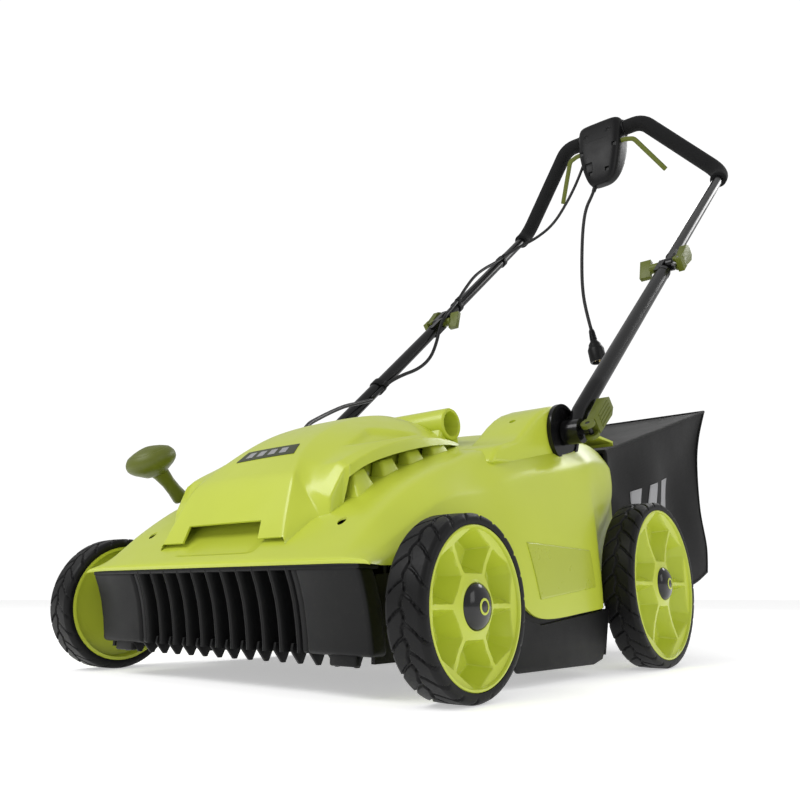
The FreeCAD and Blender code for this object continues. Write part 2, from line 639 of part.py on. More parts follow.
def bar_points():
    start = (HANDLE_X,) + along_leg(TUBE_TO_JOINT)
    left = [start, BEND_LOW, BEND_HIGH]
    return left + [(-x, y, z) for x, y, z in reversed(left)]


def upper_handle_bar():
    radii = [BAR_BEND_R] * 4
    bar = hollow_tube(bar_points(), radii, UPPER_TUBE_R, TUBE_WALL)
    nose = tongue(HANDLE_X + 0.2, HANDLE_X + 10, TUBE_TO_JOINT + 10)
    cap = rod((HANDLE_X,) + along_leg(TUBE_TO_JOINT), (HANDLE_X,) + along_leg(TUBE_TO_JOINT + 6),
              UPPER_TUBE_R)
    bar = fuse([bar] + both_sides(fuse([nose, cap])))
    return bar.cut(cyl_x(CLAMP_BOLT_R, -300, 300, JOINT_Y, JOINT_Z))


def foam_grip():
    """Foam sleeve from beside the switch box, round both bends, to just below the lower one."""
    low = BEND_LOW
    leg_run = (JOINT_Y - low[1], JOINT_Z - low[2])
    size = math.hypot(*leg_run)
    past = 44.0
    end = (low[0], low[1] + leg_run[0] / size * past, low[2] + leg_run[1] / size * past)
    start = (53.0, BEND_HIGH[1], BEND_HIGH[2])
    points = [start, BEND_HIGH, low, end]
    radii = [BAR_BEND_R, BAR_BEND_R]
    return sweep(points, radii, FOAM_R).cut(sweep(points, radii, UPPER_TUBE_R))


def pivot_bracket():
    """Black disc on the housing, with the pivot bolt and its cross pin."""
    disc = cyl_x(36, 208.3, 212, PIVOT_Y, PIVOT_Z)
    lip = ring_x(36, 31, 211.5, 213.5, PIVOT_Y, PIVOT_Z)
    collar = cyl_x(9.5, 211.5, 214.2, PIVOT_Y, PIVOT_Z)
    bolt = cyl_x(PIVOT_BOLT_R, 211.5, PIVOT_PIN_X, PIVOT_Y, PIVOT_Z)
    bracket = fuse([disc, lip, collar, bolt, cross_pin(PIVOT_PIN_X, PIVOT_Y, PIVOT_Z)])
    return bracket.cut(DECK_SOLID)


def cross_pin(x, y, z):
    """Pin through a bolt's end, square to the bolt and to the tube."""
    ay, az = -LEG_WAY[1] * 9.8, LEG_WAY[0] * 9.8
    return rod((x, y - ay, z - az), (x, y + ay, z + az), LEVER_PIN_R)


def cam_lever(x, y, z, s_start, s_end, width):
    """Quick-release lever lying along the tube: two round cheeks on the cross pin and an arm."""
    cheek = Part.makeCylinder(8.6, 4.6, V(0, 0, 5.6), V(0, 0, 1))
    parts = [cheek, cheek.mirror(V(0, 0, 0), V(0, 0, 1))]
    half = width / 2
    loop = [V(-3.6, 6.6, -10.2), V(-3.6, 6.6, 10.2), V(-3.6, s_end - 10, half), V(-3.6, s_end, half * 0.6),
            V(-3.6, s_end, -half * 0.6), V(-3.6, s_end - 10, -half)]
    parts.append(Part.Face(Part.makePolygon(loop + loop[:1])).extrude(V(11.6, 0, 0)))
    if s_start < 0:
        parts.append(box(2.5, 8, s_start, 7, -half * 0.8, half * 0.8))
        parts.append(box(-1, 8, s_start, s_start + 5, -half * 0.8, half * 0.8))
    for z0 in (5.6, -10.2):
        parts.append(box(-6, 6, 5.5, 8, z0, z0 + 4.6))
    lever = fuse(parts).cut(Part.makeCylinder(LEVER_PIN_R + RUN_FIT, 40, V(0, 0, -20), V(0, 0, 1)))
    lever.rotate(V(0, 0, 0), V(1, 0, 0), math.degrees(math.atan2(LEG_WAY[1], LEG_WAY[0])))
    lever.translate(V(x, y, z))
    return lever


def clamp_bolt():
    bolt = cyl_x(CLAMP_BOLT_R, 199, 251, JOINT_Y, JOINT_Z)
    return fuse([bolt, cross_pin(251, JOINT_Y, JOINT_Z)])


def wing_nut():
    hub = cyl_x(8, 203, 220.5, JOINT_Y, JOINT_Z)
    wing = box(186, 204, -17, 17, -4.5, 4.5)
    wing.rotate(V(0, 0, 0), V(1, 0, 0), 75)
    wing.translate(V(0, JOINT_Y, JOINT_Z))
    nut = fuse([hub, wing])
    return nut.cut(cyl_x(CLAMP_BOLT_R + RUN_FIT, 198.5, 230, JOINT_Y, JOINT_Z))


# ---------------------------------------------------------------- switch box, bail and cables
BOX_SPLIT_Y = 958.0
BAIL_Y, BAIL_Z = 941.0, 1050.0
BAIL_R = 4.5


def box_outer(grow=0.0):
    """Closed body of the switch box: wide at the bar, narrow at its lower end."""
    def ring(z, half, y0, y1, corner):
        half, y0, y1 = half + grow, y0 - grow, y1 + grow
        loop = [V(-half + corner, y0, z), V(half - corner, y0, z), V(half, y0 + corner, z),
                V(half, y1 - corner, z), V(half - corner, y1, z), V(-half + corner, y1, z),
                V(-half, y1 - corner, z), V(-half, y0 + corner, z)]
        return Part.makePolygon(loop + loop[:1])
    rings = [ring(962 - grow, 14, 928, 950, 5), ring(976, 24, 925, 962, 7), ring(1002, 37, 922, 976, 9),
             ring(1046, 49, 922, 986, 10), ring(1096, 50, 930, 988, 10), ring(1114 + grow, 40, 940, 982, 8)]
    return Part.makeLoft(rings, True, True)


def switch_box():
    hollow = box_outer(-2.5)
    bar = cyl_x(UPPER_TUBE_R, -200, 200, BEND_HIGH[1], BEND_HIGH[2])
    shell = box_outer().cut(hollow)
    collar = cyl_x(UPPER_TUBE_R + 3, -49.5, 49.5, BEND_HIGH[1], BEND_HIGH[2])
    shell = fuse([shell, collar]).cut(bar)
    shell = shell.cut(cyl_x(BAIL_R + 0.3, -200, 200, BAIL_Y, BAIL_Z))
    shell = shell.cut(box(17.6, 34.4, 970, 1000, 1019.6, 1036.4))
    for exit_at in (PIGTAIL[:2], LEAD_UPPER[:2]):
        way = V(*exit_at[1]) - V(*exit_at[0])
        r = PIGTAIL_R if exit_at[0] == PIGTAIL[0] else LEAD_R
        shell = shell.cut(Part.makeCylinder(r, 80, V(*exit_at[0]) - way, way))
    front = shell.common(box(-200, 200, 800, BOX_SPLIT_Y, 900, 1200)).fuse(box_gland())
    back = shell.common(box(-200, 200, BOX_SPLIT_Y, 1100, 900, 1200))
    return max(front.Solids, key=lambda s: s.Volume), max(back.Solids, key=lambda s: s.Volume)


def bail_lever():
    """Two-armed start lever: a rod through the box with arms that hang inside the handle loop."""
    def arm(side):
        return [(side * 58.0, BAIL_Y, BAIL_Z), (side * 76.0, 943.0, BAIL_Z - 5), (side * 123.0, 990.0, 975.0)]
    points = list(reversed(arm(-1))) + arm(1)
    radii = [24.0, 14.0, 14.0, 24.0]
    bar = sweep(points, radii, BAIL_R)
    cam = ring_x(11, BAIL_R - 0.5, -6, 6, BAIL_Y, BAIL_Z)
    return fuse([bar, cam])


LOCK_X, LOCK_Z = 26.0, 1028.0


def lock_button():
    cap = box(LOCK_X - 7.6, LOCK_X + 7.6, 968, 990, LOCK_Z - 7.6, LOCK_Z + 7.6)
    flange = box(LOCK_X - 10, LOCK_X + 10, 965, 969, LOCK_Z - 10, LOCK_Z + 10)
    return fuse([cap, flange])


def switch_module():
    return box(-16, 14, 930, 950, 985, 1030)


def clip(station, tube_r, cable_at, cable):
    """Plastic clip: a band round the right-hand tube with an eye for the motor lead."""
    d = V(0, LEG_WAY[0], LEG_WAY[1])
    centre, eye = V(-HANDLE_X, *along_leg(station)), V(*cable_at)
    eye = eye - d * (eye - centre).dot(d)
    length = 14.0
    band = Part.makeCylinder(tube_r + 2.6, length, centre - d * (length / 2), d)
    loop = Part.makeCylinder(LEAD_R + 2.2, length, eye - d * (length / 2), d)
    body = fuse([band, loop])
    body = body.cut(Part.makeCylinder(tube_r, 60, centre - d * 30, d))
    return body.cut(Part.makeCylinder(LEAD_R, 60, eye - d * 30, d)).cut(cable)


# The motor lead runs from the switch box down the right-hand tubes and over to the hood.
LEAD_UPPER = [(-40, 938, 1026), (-56, 938, 992), (-86, 938, 946), (-124, 938, 902), (-166, 931, 878),
              (-200, 908, 858), (-221, 876, 829), (-221, 842, 804), (-221, 802, 779), (-221, 758, 746),
              (-221, 722, 706), (-221, 695, 672), (-215, 668, 648), (-213, 642, 625)]
LEAD_LOWER = [(-213, 636, 619), (-211, 618, 592), (-209, 604, 556), (-209, 584, 520), (-210, 548, 491),
              (-213, 500, 469), (-215.5, 461, 445), (-215.5, 426, 414)]
LEAD_TAIL = [(-212, 421, 409), (-206, 385, 396), (-195, 338, 381), (-180, 288, 359), (-160, 243, 339),
             (-135, 197, 319), (-114, 166, 292), (-108, 158, 272)]
UPPER_CLIPS = [(320.8, (-221, 876, 829)), (81.0, (-221, 695, 672))]
LOWER_CLIP = (-249.0, (-215.0, 459.5, 443.5))

# The pigtail hangs from the box and ends in the inlet plug for the extension lead.
PIGTAIL = [(-15, 939, 966), (-24, 937, 943), (-40, 933, 914), (-49, 931, 868), (-55, 930, 801),
           (-58, 930, 736), (-54, 930, 684), (-43, 930, 632)]
PLUG_WAY = (13.0, 0.0, -78.0)


def box_gland():
    """Tapered sleeve moulded on the box where the pigtail leaves it."""
    top, tip = V(*PIGTAIL[0]), V(*PIGTAIL[1])
    way = tip - top
    cone = Part.makeCone(8.5, 5.2, way.Length - 3, top, way)
    return cone.cut(Part.makeCylinder(PIGTAIL_R, 60, top - way, way))


def inlet_plug():
    """Male inlet: strain relief, flared body, open shroud with three pins."""
    start, way = V(*PIGTAIL[-1]), V(*PLUG_WAY)
    profile = [(0, 0), (5.2, 0), (7, 26), (10.5, 31), (13, 36), (16.5, 44), (17, 48), (17, 72), (15.5, 75),
               (12.5, 75), (12.5, 58), (0, 58)]
    loop = [V(r, 0, h) for r, h in profile]
    body = Part.Face(Part.makePolygon(loop + loop[:1])).revolve(V(0, 0, 0), V(0, 0, 1), 360)
    pins = []
    for px, py in ((-5.0, -3.0), (5.0, -3.0), (0.0, 5.5)):
        pins.append(Part.makeCylinder(1.6, 15, V(px, py, 57)))
    plug = fuse([body] + pins)
    turn = FreeCAD.Rotation(V(0, 0, 1), way)
    plug.Placement = FreeCAD.Placement(start, turn)
    return plug


# ---------------------------------------------------------------- flap and bag
BAG_HALF = 200.0
BAG_SIDE = [(436, 132), (436, 276), (470, 287), (854, 405), (800, 330), (788, 225), (804, 165), (797, 123),
            (717, 102), (520, 104)]
BAG_CLOTH = 2.5


def grass_bag():
    def face(shrink, x):
        wire = Part.makePolygon([V(x, y, z) for y, z in BAG_SIDE + BAG_SIDE[:1]])
        plain = Part.Face(wire)
        return plain.makeOffset2D(-shrink) if shrink else plain
    outer = face(0, -BAG_HALF).extrude(V(2 * BAG_HALF, 0, 0))
    inner_half = BAG_HALF - BAG_CLOTH
    inner = face(BAG_CLOTH, -inner_half).extrude(V(2 * inner_half, 0, 0))
    mouth = box(-inner_half + 4, inner_half - 4, 430, 441, 140, 268)
    return outer.cut(inner).cut(mouth)


def bag_frame():
    """Steel wire rectangle inside the bag's mouth."""
    x, y, z0, z1, r = 190.0, 445.0, 143.0, 270.0, 3.5
    points = [(0, y, z0), (x, y, z0), (x, y, z1), (-x, y, z1), (-x, y, z0), (-1, y, z0)]
    return sweep(points, [12.0] * 4, r)


def discharge_flap():
    plate = prism_x([(406, 296), (478, 294), (478, 297), (406, 300)], -192, 192)
    barrel = cyl_x(5, -192, 192, 405, 301)
    lip = prism_x([(476, 290), (479, 290), (479, 297), (476, 297)], -192, 192)
    return fuse([plate, barrel, lip])


# ---------------------------------------------------------------- export
UPPER_CORD = cord("lead_upper", LEAD_UPPER, LEAD_R)
LOWER_CORD = cord("lead_lower", LEAD_LOWER, LEAD_R)
TAIL_CORD = cord("lead_tail", LEAD_TAIL, LEAD_R)

export("deck_cover", deck_cover())
export("motor_hood", motor_hood(TAIL_CORD))
export("front_guard", front_guard())
export("chassis", chassis())
export("side_skirts", *both_sides(side_skirt()))
export("pivot_covers", *both_sides(pivot_cover()))
export("cover_screws", *cover_screws())
export("rear_axle", rear_axle())
export("reel_bearings", *both_sides(ring_x(16, REEL_SHAFT_R + RUN_FIT, CHASSIS_X - 8, CHASSIS_X + 1, REEL_Y, REEL_Z)))
export("motor_can", motor_can())
export("drive_belt", drive_belt())
export("pivot_brackets", *both_sides(pivot_bracket()))

export_wheel("front_left", FRONT_WHEEL_R, FRONT_WHEEL_X, 0.0, 1)
export_wheel("front_right", FRONT_WHEEL_R, FRONT_WHEEL_X, 0.0, -1)
export_wheel("rear_left", REAR_WHEEL_R, REAR_WHEEL_X, WHEELBASE, 1)
export_wheel("rear_right", REAR_WHEEL_R, REAR_WHEEL_X, WHEELBASE, -1)

export("height_crank", height_crank())
export("height_lever", height_lever())
export("height_knob", height_knob())

export("reel_shaft", cyl_x(REEL_SHAFT_R, -202, 214.5, REEL_Y, REEL_Z))
export("tine_carrier", *tine_carrier())
export("spring_tines", *spring_tines())
export("driven_pulley", pulley(BIG_PULLEY_R, REEL_SHAFT_R, REEL_Y, REEL_Z))
export("armature", armature())
export("cooling_fan", cooling_fan())
export("drive_pulley", pulley(SMALL_PULLEY_R, MOTOR_SHAFT_R, MOTOR_Y, MOTOR_Z))

left_leg = lower_handle()
export("lower_handle_left", left_leg)
export("lower_handle_right", mirror_x(left_leg))
export("upper_handle_bar", upper_handle_bar())
export("foam_grips", *both_sides(foam_grip()))
export("clamp_bolts", *both_sides(clamp_bolt()))

low_lever = cam_lever(PIVOT_PIN_X, PIVOT_Y, PIVOT_Z, 0, 62, 26)
export("lower_clamp_lever_left", low_lever)
export("lower_clamp_lever_right", mirror_x(low_lever))
high_lever = cam_lever(251, JOINT_Y, JOINT_Z, -14, 46, 28)
export("upper_clamp_lever_left", high_lever)
export("upper_clamp_lever_right", mirror_x(high_lever))
nut = wing_nut()
export("wing_nut_left", nut)
export("wing_nut_right", mirror_x(nut))

box_front, box_back = switch_box()
export("switch_box_front", box_front)
export("switch_box_back", box_back)
export("switch_module", switch_module())
export("bail_lever", bail_lever())
export("lock_button", lock_button())

export("lead_upper", UPPER_CORD)
export("lead_lower", LOWER_CORD)
export("lead_tail", TAIL_CORD)
export("upper_cable_clips", *[clip(s, UPPER_TUBE_R, hold, UPPER_CORD) for s, hold in UPPER_CLIPS])
export("lower_cable_clip", clip(LOWER_CLIP[0], LOWER_TUBE_R, LOWER_CLIP[1], LOWER_CORD))
export("pigtail", cord("pigtail", PIGTAIL, PIGTAIL_R))
export("inlet_plug", inlet_plug())

export("discharge_flap", discharge_flap())
export("grass_bag", grass_bag())
export("bag_frame", bag_frame())
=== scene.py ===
# %% [markdown]
# # A walk-behind lawn dethatcher
# The machine has been drawn as solids already, and those solids move in a simulation.  This lesson
# dresses them: smooth covers, treaded wheels, foam, cloth, cable and finishes.  Nothing is moved,
# so each new piece is built exactly where the solid it stands for lies.

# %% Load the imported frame
import math

import bmesh
import bpy
import numpy as np
from mathutils import Matrix, Vector
from mathutils.bvhtree import BVHTree


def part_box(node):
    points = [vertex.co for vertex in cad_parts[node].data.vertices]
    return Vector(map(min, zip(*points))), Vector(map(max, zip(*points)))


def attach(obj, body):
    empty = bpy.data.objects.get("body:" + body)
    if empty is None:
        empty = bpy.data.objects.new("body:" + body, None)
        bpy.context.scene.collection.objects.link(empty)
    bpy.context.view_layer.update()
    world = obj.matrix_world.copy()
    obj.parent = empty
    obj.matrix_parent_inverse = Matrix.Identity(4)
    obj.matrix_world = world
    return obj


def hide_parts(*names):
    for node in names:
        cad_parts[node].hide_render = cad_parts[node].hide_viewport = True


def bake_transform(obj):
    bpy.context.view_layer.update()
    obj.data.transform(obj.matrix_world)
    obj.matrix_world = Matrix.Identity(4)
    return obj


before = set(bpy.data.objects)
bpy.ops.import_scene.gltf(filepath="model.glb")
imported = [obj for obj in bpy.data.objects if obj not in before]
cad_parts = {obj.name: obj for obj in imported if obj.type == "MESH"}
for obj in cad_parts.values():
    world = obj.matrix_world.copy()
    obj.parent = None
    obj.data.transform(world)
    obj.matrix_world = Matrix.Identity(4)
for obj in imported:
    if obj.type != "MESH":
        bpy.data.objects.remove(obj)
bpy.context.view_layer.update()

scene = bpy.context.scene

# %% [markdown]
# Every size below is in millimetres, and y is counted back from the front axle, as a maker would
# measure it.  One helper turns such a point into the frame's metres.

# %% A ruler
AXLE_Y = sum(corner.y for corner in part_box("front_left_tyre")) / 2


def at(x, y, z):
    return Vector((x / 1000, AXLE_Y + y / 1000, z / 1000))


print("front axle lies at y =", round(AXLE_Y, 4))

# %% [markdown]
# The camera stands low in front of the left front wheel and looks up a little, which makes the
# machine look large.  It is set first, because the cables are checked against what it sees.

# %% Camera
camera = bpy.data.objects.new("camera", bpy.data.cameras.new("camera"))
scene.collection.objects.link(camera)
camera.location = at(661.48, -566.44, 87.67)
camera.rotation_euler = (math.radians(90 + 13.7), 0, math.radians(39.4))
camera.data.lens = 35.8
camera.data.clip_start = 0.05
scene.camera = camera
print("camera at", [round(v, 3) for v in camera.location])

# %% [markdown]
# ## Finishes
# Shader maths reads best as plain arithmetic.  `Value` wraps one socket and adds a Math node for
# every sum or product, and `Finish.node` makes any other node from its type, settings and inputs.

# %% Shader helpers
class Value:
    """A number socket that can be used in an expression."""

    def __init__(self, finish, socket):
        self.finish = finish
        self.socket = socket

    def maths(self, operation, other):
        return self.finish.node("ShaderNodeMath", {"operation": operation}, {0: self, 1: other})

    def __add__(self, other):
        return self.maths("ADD", other)

    def __mul__(self, other):
        return self.maths("MULTIPLY", other)


class Finish:
    """A material under construction, with its Principled shader at hand."""

    def __init__(self, name, colour, roughness, metallic=0.0, **fixed):
        self.material = bpy.data.materials.new(name)
        self.material.use_nodes = True
        self.tree = self.material.node_tree
        self.shader = self.tree.nodes["Principled BSDF"]
        self.shader.inputs["Base Color"].default_value = (*colour, 1)
        self.shader.inputs["Roughness"].default_value = roughness
        self.shader.inputs["Metallic"].default_value = metallic
        for socket, number in fixed.items():
            self.shader.inputs[socket.replace("_", " ")].default_value = number
        self.material.diffuse_color = (*colour, 1)

    def node(self, kind, settings=None, inputs=None, output=0):
        made = self.tree.nodes.new(kind)
        for key, setting in (settings or {}).items():
            if key == "stops":
                for stop, (place, shade) in zip(made.color_ramp.elements, setting):
                    stop.position = place
                    stop.color = (shade, shade, shade, 1)
            else:
                setattr(made, key, setting)
        for socket, value in (inputs or {}).items():
            if isinstance(value, Value):
                self.tree.links.new(value.socket, made.inputs[socket])
            else:
                made.inputs[socket].default_value = value
        return Value(self, made.outputs[output])

    def place(self, output="Object"):
        return self.node("ShaderNodeTexCoord", output=output)

    def noise(self, scale, detail=3.0, stretch=None):
        where = self.place()
        if stretch:
            where = self.node("ShaderNodeMapping", inputs={"Vector": where, "Scale": stretch})
        return self.node("ShaderNodeTexNoise", inputs={"Vector": where, "Scale": scale,
                                                       "Detail": detail})

    def ramp(self, value, dark, light):
        return self.node("ShaderNodeValToRGB", {"stops": [(dark, 0.0), (light, 1.0)]},
                         {"Fac": value})

    def mix(self, amount, first, second):
        def four(c):
            return c if isinstance(c, Value) else (*c, 1)
        return self.node("ShaderNodeMix", {"data_type": "RGBA"},
                         {0: amount, 6: four(first), 7: four(second)}, output=2)

    def bump(self, height, strength, distance, below=None):
        inputs = {"Height": height, "Strength": strength, "Distance": distance}
        if below:
            inputs["Normal"] = below
        return self.node("ShaderNodeBump", inputs=inputs)

    def feed(self, socket, value):
        self.tree.links.new(value.socket, self.shader.inputs[socket])


def tinted(colour, factor):
    return tuple(min(1.0, c * factor) for c in colour)


FINISHES = {}


def finish_for(slot, finish):
    """Keep a finish under its name, with the record's slot that its pieces belong to."""
    FINISHES[finish.material.name] = (finish.material, slot)


print("shader helpers ready")

# %% [markdown]
# Moulded plastic is never one flat colour.  It has a fine spark-eroded grain, long soft waves where
# the wall sank as it cooled, faint mottling and some dull patches where hands and grass rub it.

# %% Plastics
def moulded(name, slot, colour, roughness, grain, dust=0.0, coat=0.0, gloss=0.5):
    finish = Finish(name, colour, roughness, Coat_Weight=coat, Coat_Roughness=0.12,
                    Specular_IOR_Level=gloss)
    blotch = finish.noise(9.0, 2.0)
    rub = finish.noise(42.0, 5.0)
    tone = finish.mix(blotch, tinted(colour, 0.93), tinted(colour, 1.07))
    if dust:
        speck = finish.ramp(finish.noise(160.0, 6.0), 0.56, 0.76)
        tone = finish.mix(speck * dust, tone, (0.22, 0.2, 0.16))
    finish.feed("Base Color", tone)
    finish.feed("Roughness", rub * 0.22 + (roughness - 0.11))
    fine = finish.bump(finish.noise(2300.0, 2.0), grain, 0.00012)
    finish.feed("Normal", finish.bump(blotch, 0.15, 0.0012, fine))
    finish_for(slot, finish)


GREEN = (0.50, 0.575, 0.045)
OLIVE = (0.105, 0.125, 0.012)
moulded("green_moulding", "green_plastic", GREEN, 0.34, 0.10, coat=0.18)
moulded("shadow_green", "green_plastic", tinted(GREEN, 0.82), 0.3, 0.10, coat=0.2)
moulded("black_moulding", "black_plastic", (0.0045, 0.0046, 0.0048), 0.42, 0.55, dust=0.015,
        gloss=0.2)
moulded("box_moulding", "black_plastic", (0.004, 0.004, 0.0044), 0.38, 0.6, gloss=0.2)
moulded("cap_gloss", "gloss_black_plastic", (0.006, 0.006, 0.007), 0.2, 0.08, coat=0.4,
        gloss=0.3)
moulded("olive_moulding", "olive_plastic", OLIVE, 0.42, 0.35, gloss=0.35)
moulded("pale_moulding", "inner_plastic", (0.3, 0.3, 0.31), 0.5, 0.3)
moulded("label_film", "olive_plastic", (0.028, 0.036, 0.007), 0.35, 0.15, gloss=0.3)
print(len(FINISHES), "plastics")

# %% [markdown]
# Tyres are dull rubber with a fine grit and a faint film of dust.  The foam is closed-cell: tiny
# round pores over a soft skin.  Cable sheath is smooth with a slight drag from the extruder.

# %% Rubber, foam and cable
def rubber():
    finish = Finish("tyre_tread", (0.005, 0.005, 0.0053), 0.5, Specular_IOR_Level=0.2)
    grit = finish.noise(340.0, 6.0)
    dust = finish.ramp(finish.noise(22.0, 5.0), 0.5, 0.82)
    finish.feed("Base Color", finish.mix(dust * 0.04, (0.0045, 0.0045, 0.0048),
                                         (0.06, 0.057, 0.05)))
    finish.feed("Roughness", grit * 0.2 + 0.36)
    finish.feed("Normal", finish.bump(grit, 0.32, 0.0004))
    finish_for("tyre_rubber", finish)


def foam():
    finish = Finish("grip_foam", (0.006, 0.006, 0.0064), 0.82, Sheen_Weight=0.03,
                    Specular_IOR_Level=0.2)
    pores = finish.node("ShaderNodeTexVoronoi", {"feature": "F1"},
                        {"Vector": finish.place(), "Scale": 950.0})
    finish.feed("Base Color", finish.mix(finish.noise(60.0, 4.0), (0.0045, 0.0045, 0.0048),
                                         (0.008, 0.008, 0.0086)))
    finish.feed("Roughness", finish.noise(300.0) * 0.16 + 0.74)
    finish.feed("Normal", finish.bump(pores, 0.55, 0.0004))
    finish_for("foam", finish)


def sheath():
    finish = Finish("cable_sheath", (0.008, 0.008, 0.0085), 0.38, Specular_IOR_Level=0.3)
    drag = finish.noise(900.0, 3.0, stretch=(1, 1, 0.2))
    finish.feed("Base Color", finish.mix(finish.noise(30.0), (0.006, 0.006, 0.0065),
                                         (0.011, 0.011, 0.012)))
    finish.feed("Roughness", drag * 0.2 + 0.3)
    finish.feed("Normal", finish.bump(drag, 0.15, 0.0002))
    finish_for("cord_rubber", finish)


rubber()
foam()
sheath()
print("rubber, foam and sheath added")

# %% [markdown]
# The tubes carry glossy black powder coat, whose tell-tale is a fine orange peel.  Zinc plate is
# brushed and faintly blotched, and spring wire is darker and oily.

# %% Metals
def powder_coat():
    finish = Finish("powder_coat", (0.004, 0.004, 0.0045), 0.16, Coat_Weight=0.1,
                    Coat_Roughness=0.06, Specular_IOR_Level=0.3)
    peel = finish.noise(520.0, 2.0)
    scuff = finish.ramp(finish.noise(70.0, 6.0), 0.6, 0.8)
    finish.feed("Base Color", finish.mix(scuff * 0.2, (0.004, 0.004, 0.0045), (0.02, 0.02, 0.021)))
    finish.feed("Roughness", scuff * 0.14 + 0.2)
    finish.feed("Normal", finish.bump(peel, 0.12, 0.0004))
    finish_for("black_paint", finish)


def steel(name, slot, colour, roughness, brushed, metallic=1.0):
    finish = Finish(name, colour, roughness, metallic)
    lines = finish.noise(420.0, 3.0, stretch=brushed)
    cloud = finish.noise(35.0, 4.0)
    finish.feed("Base Color", finish.mix(cloud, tinted(colour, 0.78), tinted(colour, 1.12)))
    finish.feed("Roughness", lines * 0.2 + (roughness - 0.1))
    finish.feed("Normal", finish.bump(lines, 0.18, 0.0002))
    finish_for(slot, finish)


powder_coat()
steel("zinc_plate", "zinc_steel", (0.56, 0.56, 0.57), 0.34, (0.08, 1, 1))
steel("spring_wire", "spring_steel", (0.27, 0.26, 0.25), 0.38, (1, 0.3, 0.3))
steel("motor_shell", "motor_steel", (0.13, 0.13, 0.14), 0.5, (1, 1, 0.3), 0.7)
steel("brass_pin", "zinc_steel", (0.72, 0.56, 0.26), 0.3, (1, 1, 0.1))
print("metals added")

# %% [markdown]
# The bag is coated polyester.  Its weave follows the cloth, so it is drawn in the piece's own UV
# map, whose unit is a metre: two crossed waves give warp and weft, and a wide noise gives the
# polish where the cloth has been folded.

# %% Cloth
def woven(name, colour, threads):
    finish = Finish(name, colour, 0.72, Sheen_Weight=0.06, Sheen_Roughness=0.5,
                    Specular_IOR_Level=0.18)
    where = finish.place("UV")

    def wave(direction):
        return finish.node("ShaderNodeTexWave",
                           {"bands_direction": direction, "wave_profile": "SIN"},
                           {"Vector": where, "Scale": threads, "Distortion": 0.4, "Detail": 1.0,
                            "Detail Scale": 2.0})
    weave = wave("X") * 0.5 + wave("Y") * 0.5
    crease = finish.noise(16.0, 5.0)
    finish.feed("Base Color", finish.mix(weave, tinted(colour, 0.72), tinted(colour, 1.35)))
    finish.feed("Roughness", crease * 0.2 + 0.58)
    thread = finish.bump(weave, 0.5, 0.0004)
    finish.feed("Normal", finish.bump(crease, 0.25, 0.003, thread))
    finish_for("bag_cloth", finish)


woven("bag_weave", (0.0035, 0.0035, 0.0038), 150.0)
woven("bag_binding", (0.003, 0.003, 0.0032), 320.0)
print("cloth added:", len(FINISHES), "finishes in all")

# %% [markdown]
# ## Making pieces
# A piece is a mesh with one finish, riding on the body that carries it.  `worked` bakes modifiers
# into a plain mesh straight away, so a finished piece has none left and sits at the origin.

# %% Mesh helpers
def build(name, points, faces, merge=1e-6):
    mesh = bpy.data.meshes.new(name)
    mesh.from_pydata([tuple(p) for p in points], [], [tuple(f) for f in faces])
    work = bmesh.new()
    work.from_mesh(mesh)
    bmesh.ops.remove_doubles(work, verts=work.verts, dist=merge)
    bmesh.ops.recalc_face_normals(work, faces=work.faces)
    work.to_mesh(mesh)
    work.free()
    mesh.shade_smooth()
    return mesh


def evaluated(data, prepare=None):
    """The plain mesh of a mesh or curve once the modifiers that `prepare` adds have run."""
    helper = bpy.data.objects.new("helper", data)
    scene.collection.objects.link(helper)
    if prepare:
        prepare(helper)
    bpy.context.view_layer.update()
    result = bpy.data.meshes.new_from_object(helper.evaluated_get(
        bpy.context.evaluated_depsgraph_get()))
    bpy.data.objects.remove(helper)
    return result


def worked(mesh, *steps):
    """The mesh after the listed modifiers, each given as its type and a dict of settings."""
    def prepare(helper):
        for kind, settings in steps:
            modifier = helper.modifiers.new(kind, kind)
            for key, setting in settings.items():
                setattr(modifier, key, setting)
    return evaluated(mesh, prepare)


SMOOTHED = ("SUBSURF", {"levels": 3, "render_levels": 3})


def rounded(width, segments=3, angle=35):
    return ("BEVEL", {"width": width / 1000, "segments": segments, "limit_method": "ANGLE",
                      "angle_limit": math.radians(angle), "harden_normals": False})


def sharp_shading(mesh, angle=32):
    """Smooth shading that still breaks at edges sharper than the angle."""
    mesh.shade_smooth()
    mesh.set_sharp_from_angle(angle=math.radians(angle))
    return mesh


def piece(name, mesh, finish, body, *stands_for):
    material, slot = FINISHES[finish]
    made = bpy.data.objects.new(name, mesh)
    scene.collection.objects.link(made)
    mesh.materials.clear()
    mesh.materials.append(material)
    if body:
        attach(made, body)
    if stands_for:
        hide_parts(*stands_for)
    print(f"{name}: {len(mesh.polygons)} faces on {body or 'two bodies'}")
    return made


def joined(name, meshes):
    """Several meshes as one."""
    work = bmesh.new()
    for mesh in meshes:
        work.from_mesh(mesh)
    whole = bpy.data.meshes.new(name)
    work.to_mesh(whole)
    work.free()
    return whole


def mirrored(mesh):
    """A copy reflected to the other side, with its faces turned out again."""
    copy = mesh.copy()
    copy.transform(Matrix.Scale(-1, 4, (1, 0, 0)))
    copy.flip_normals()
    return copy


def circle(radius, sides=32):
    return [(radius * math.cos(2 * math.pi * i / sides), radius * math.sin(2 * math.pi * i / sides))
            for i in range(sides)]


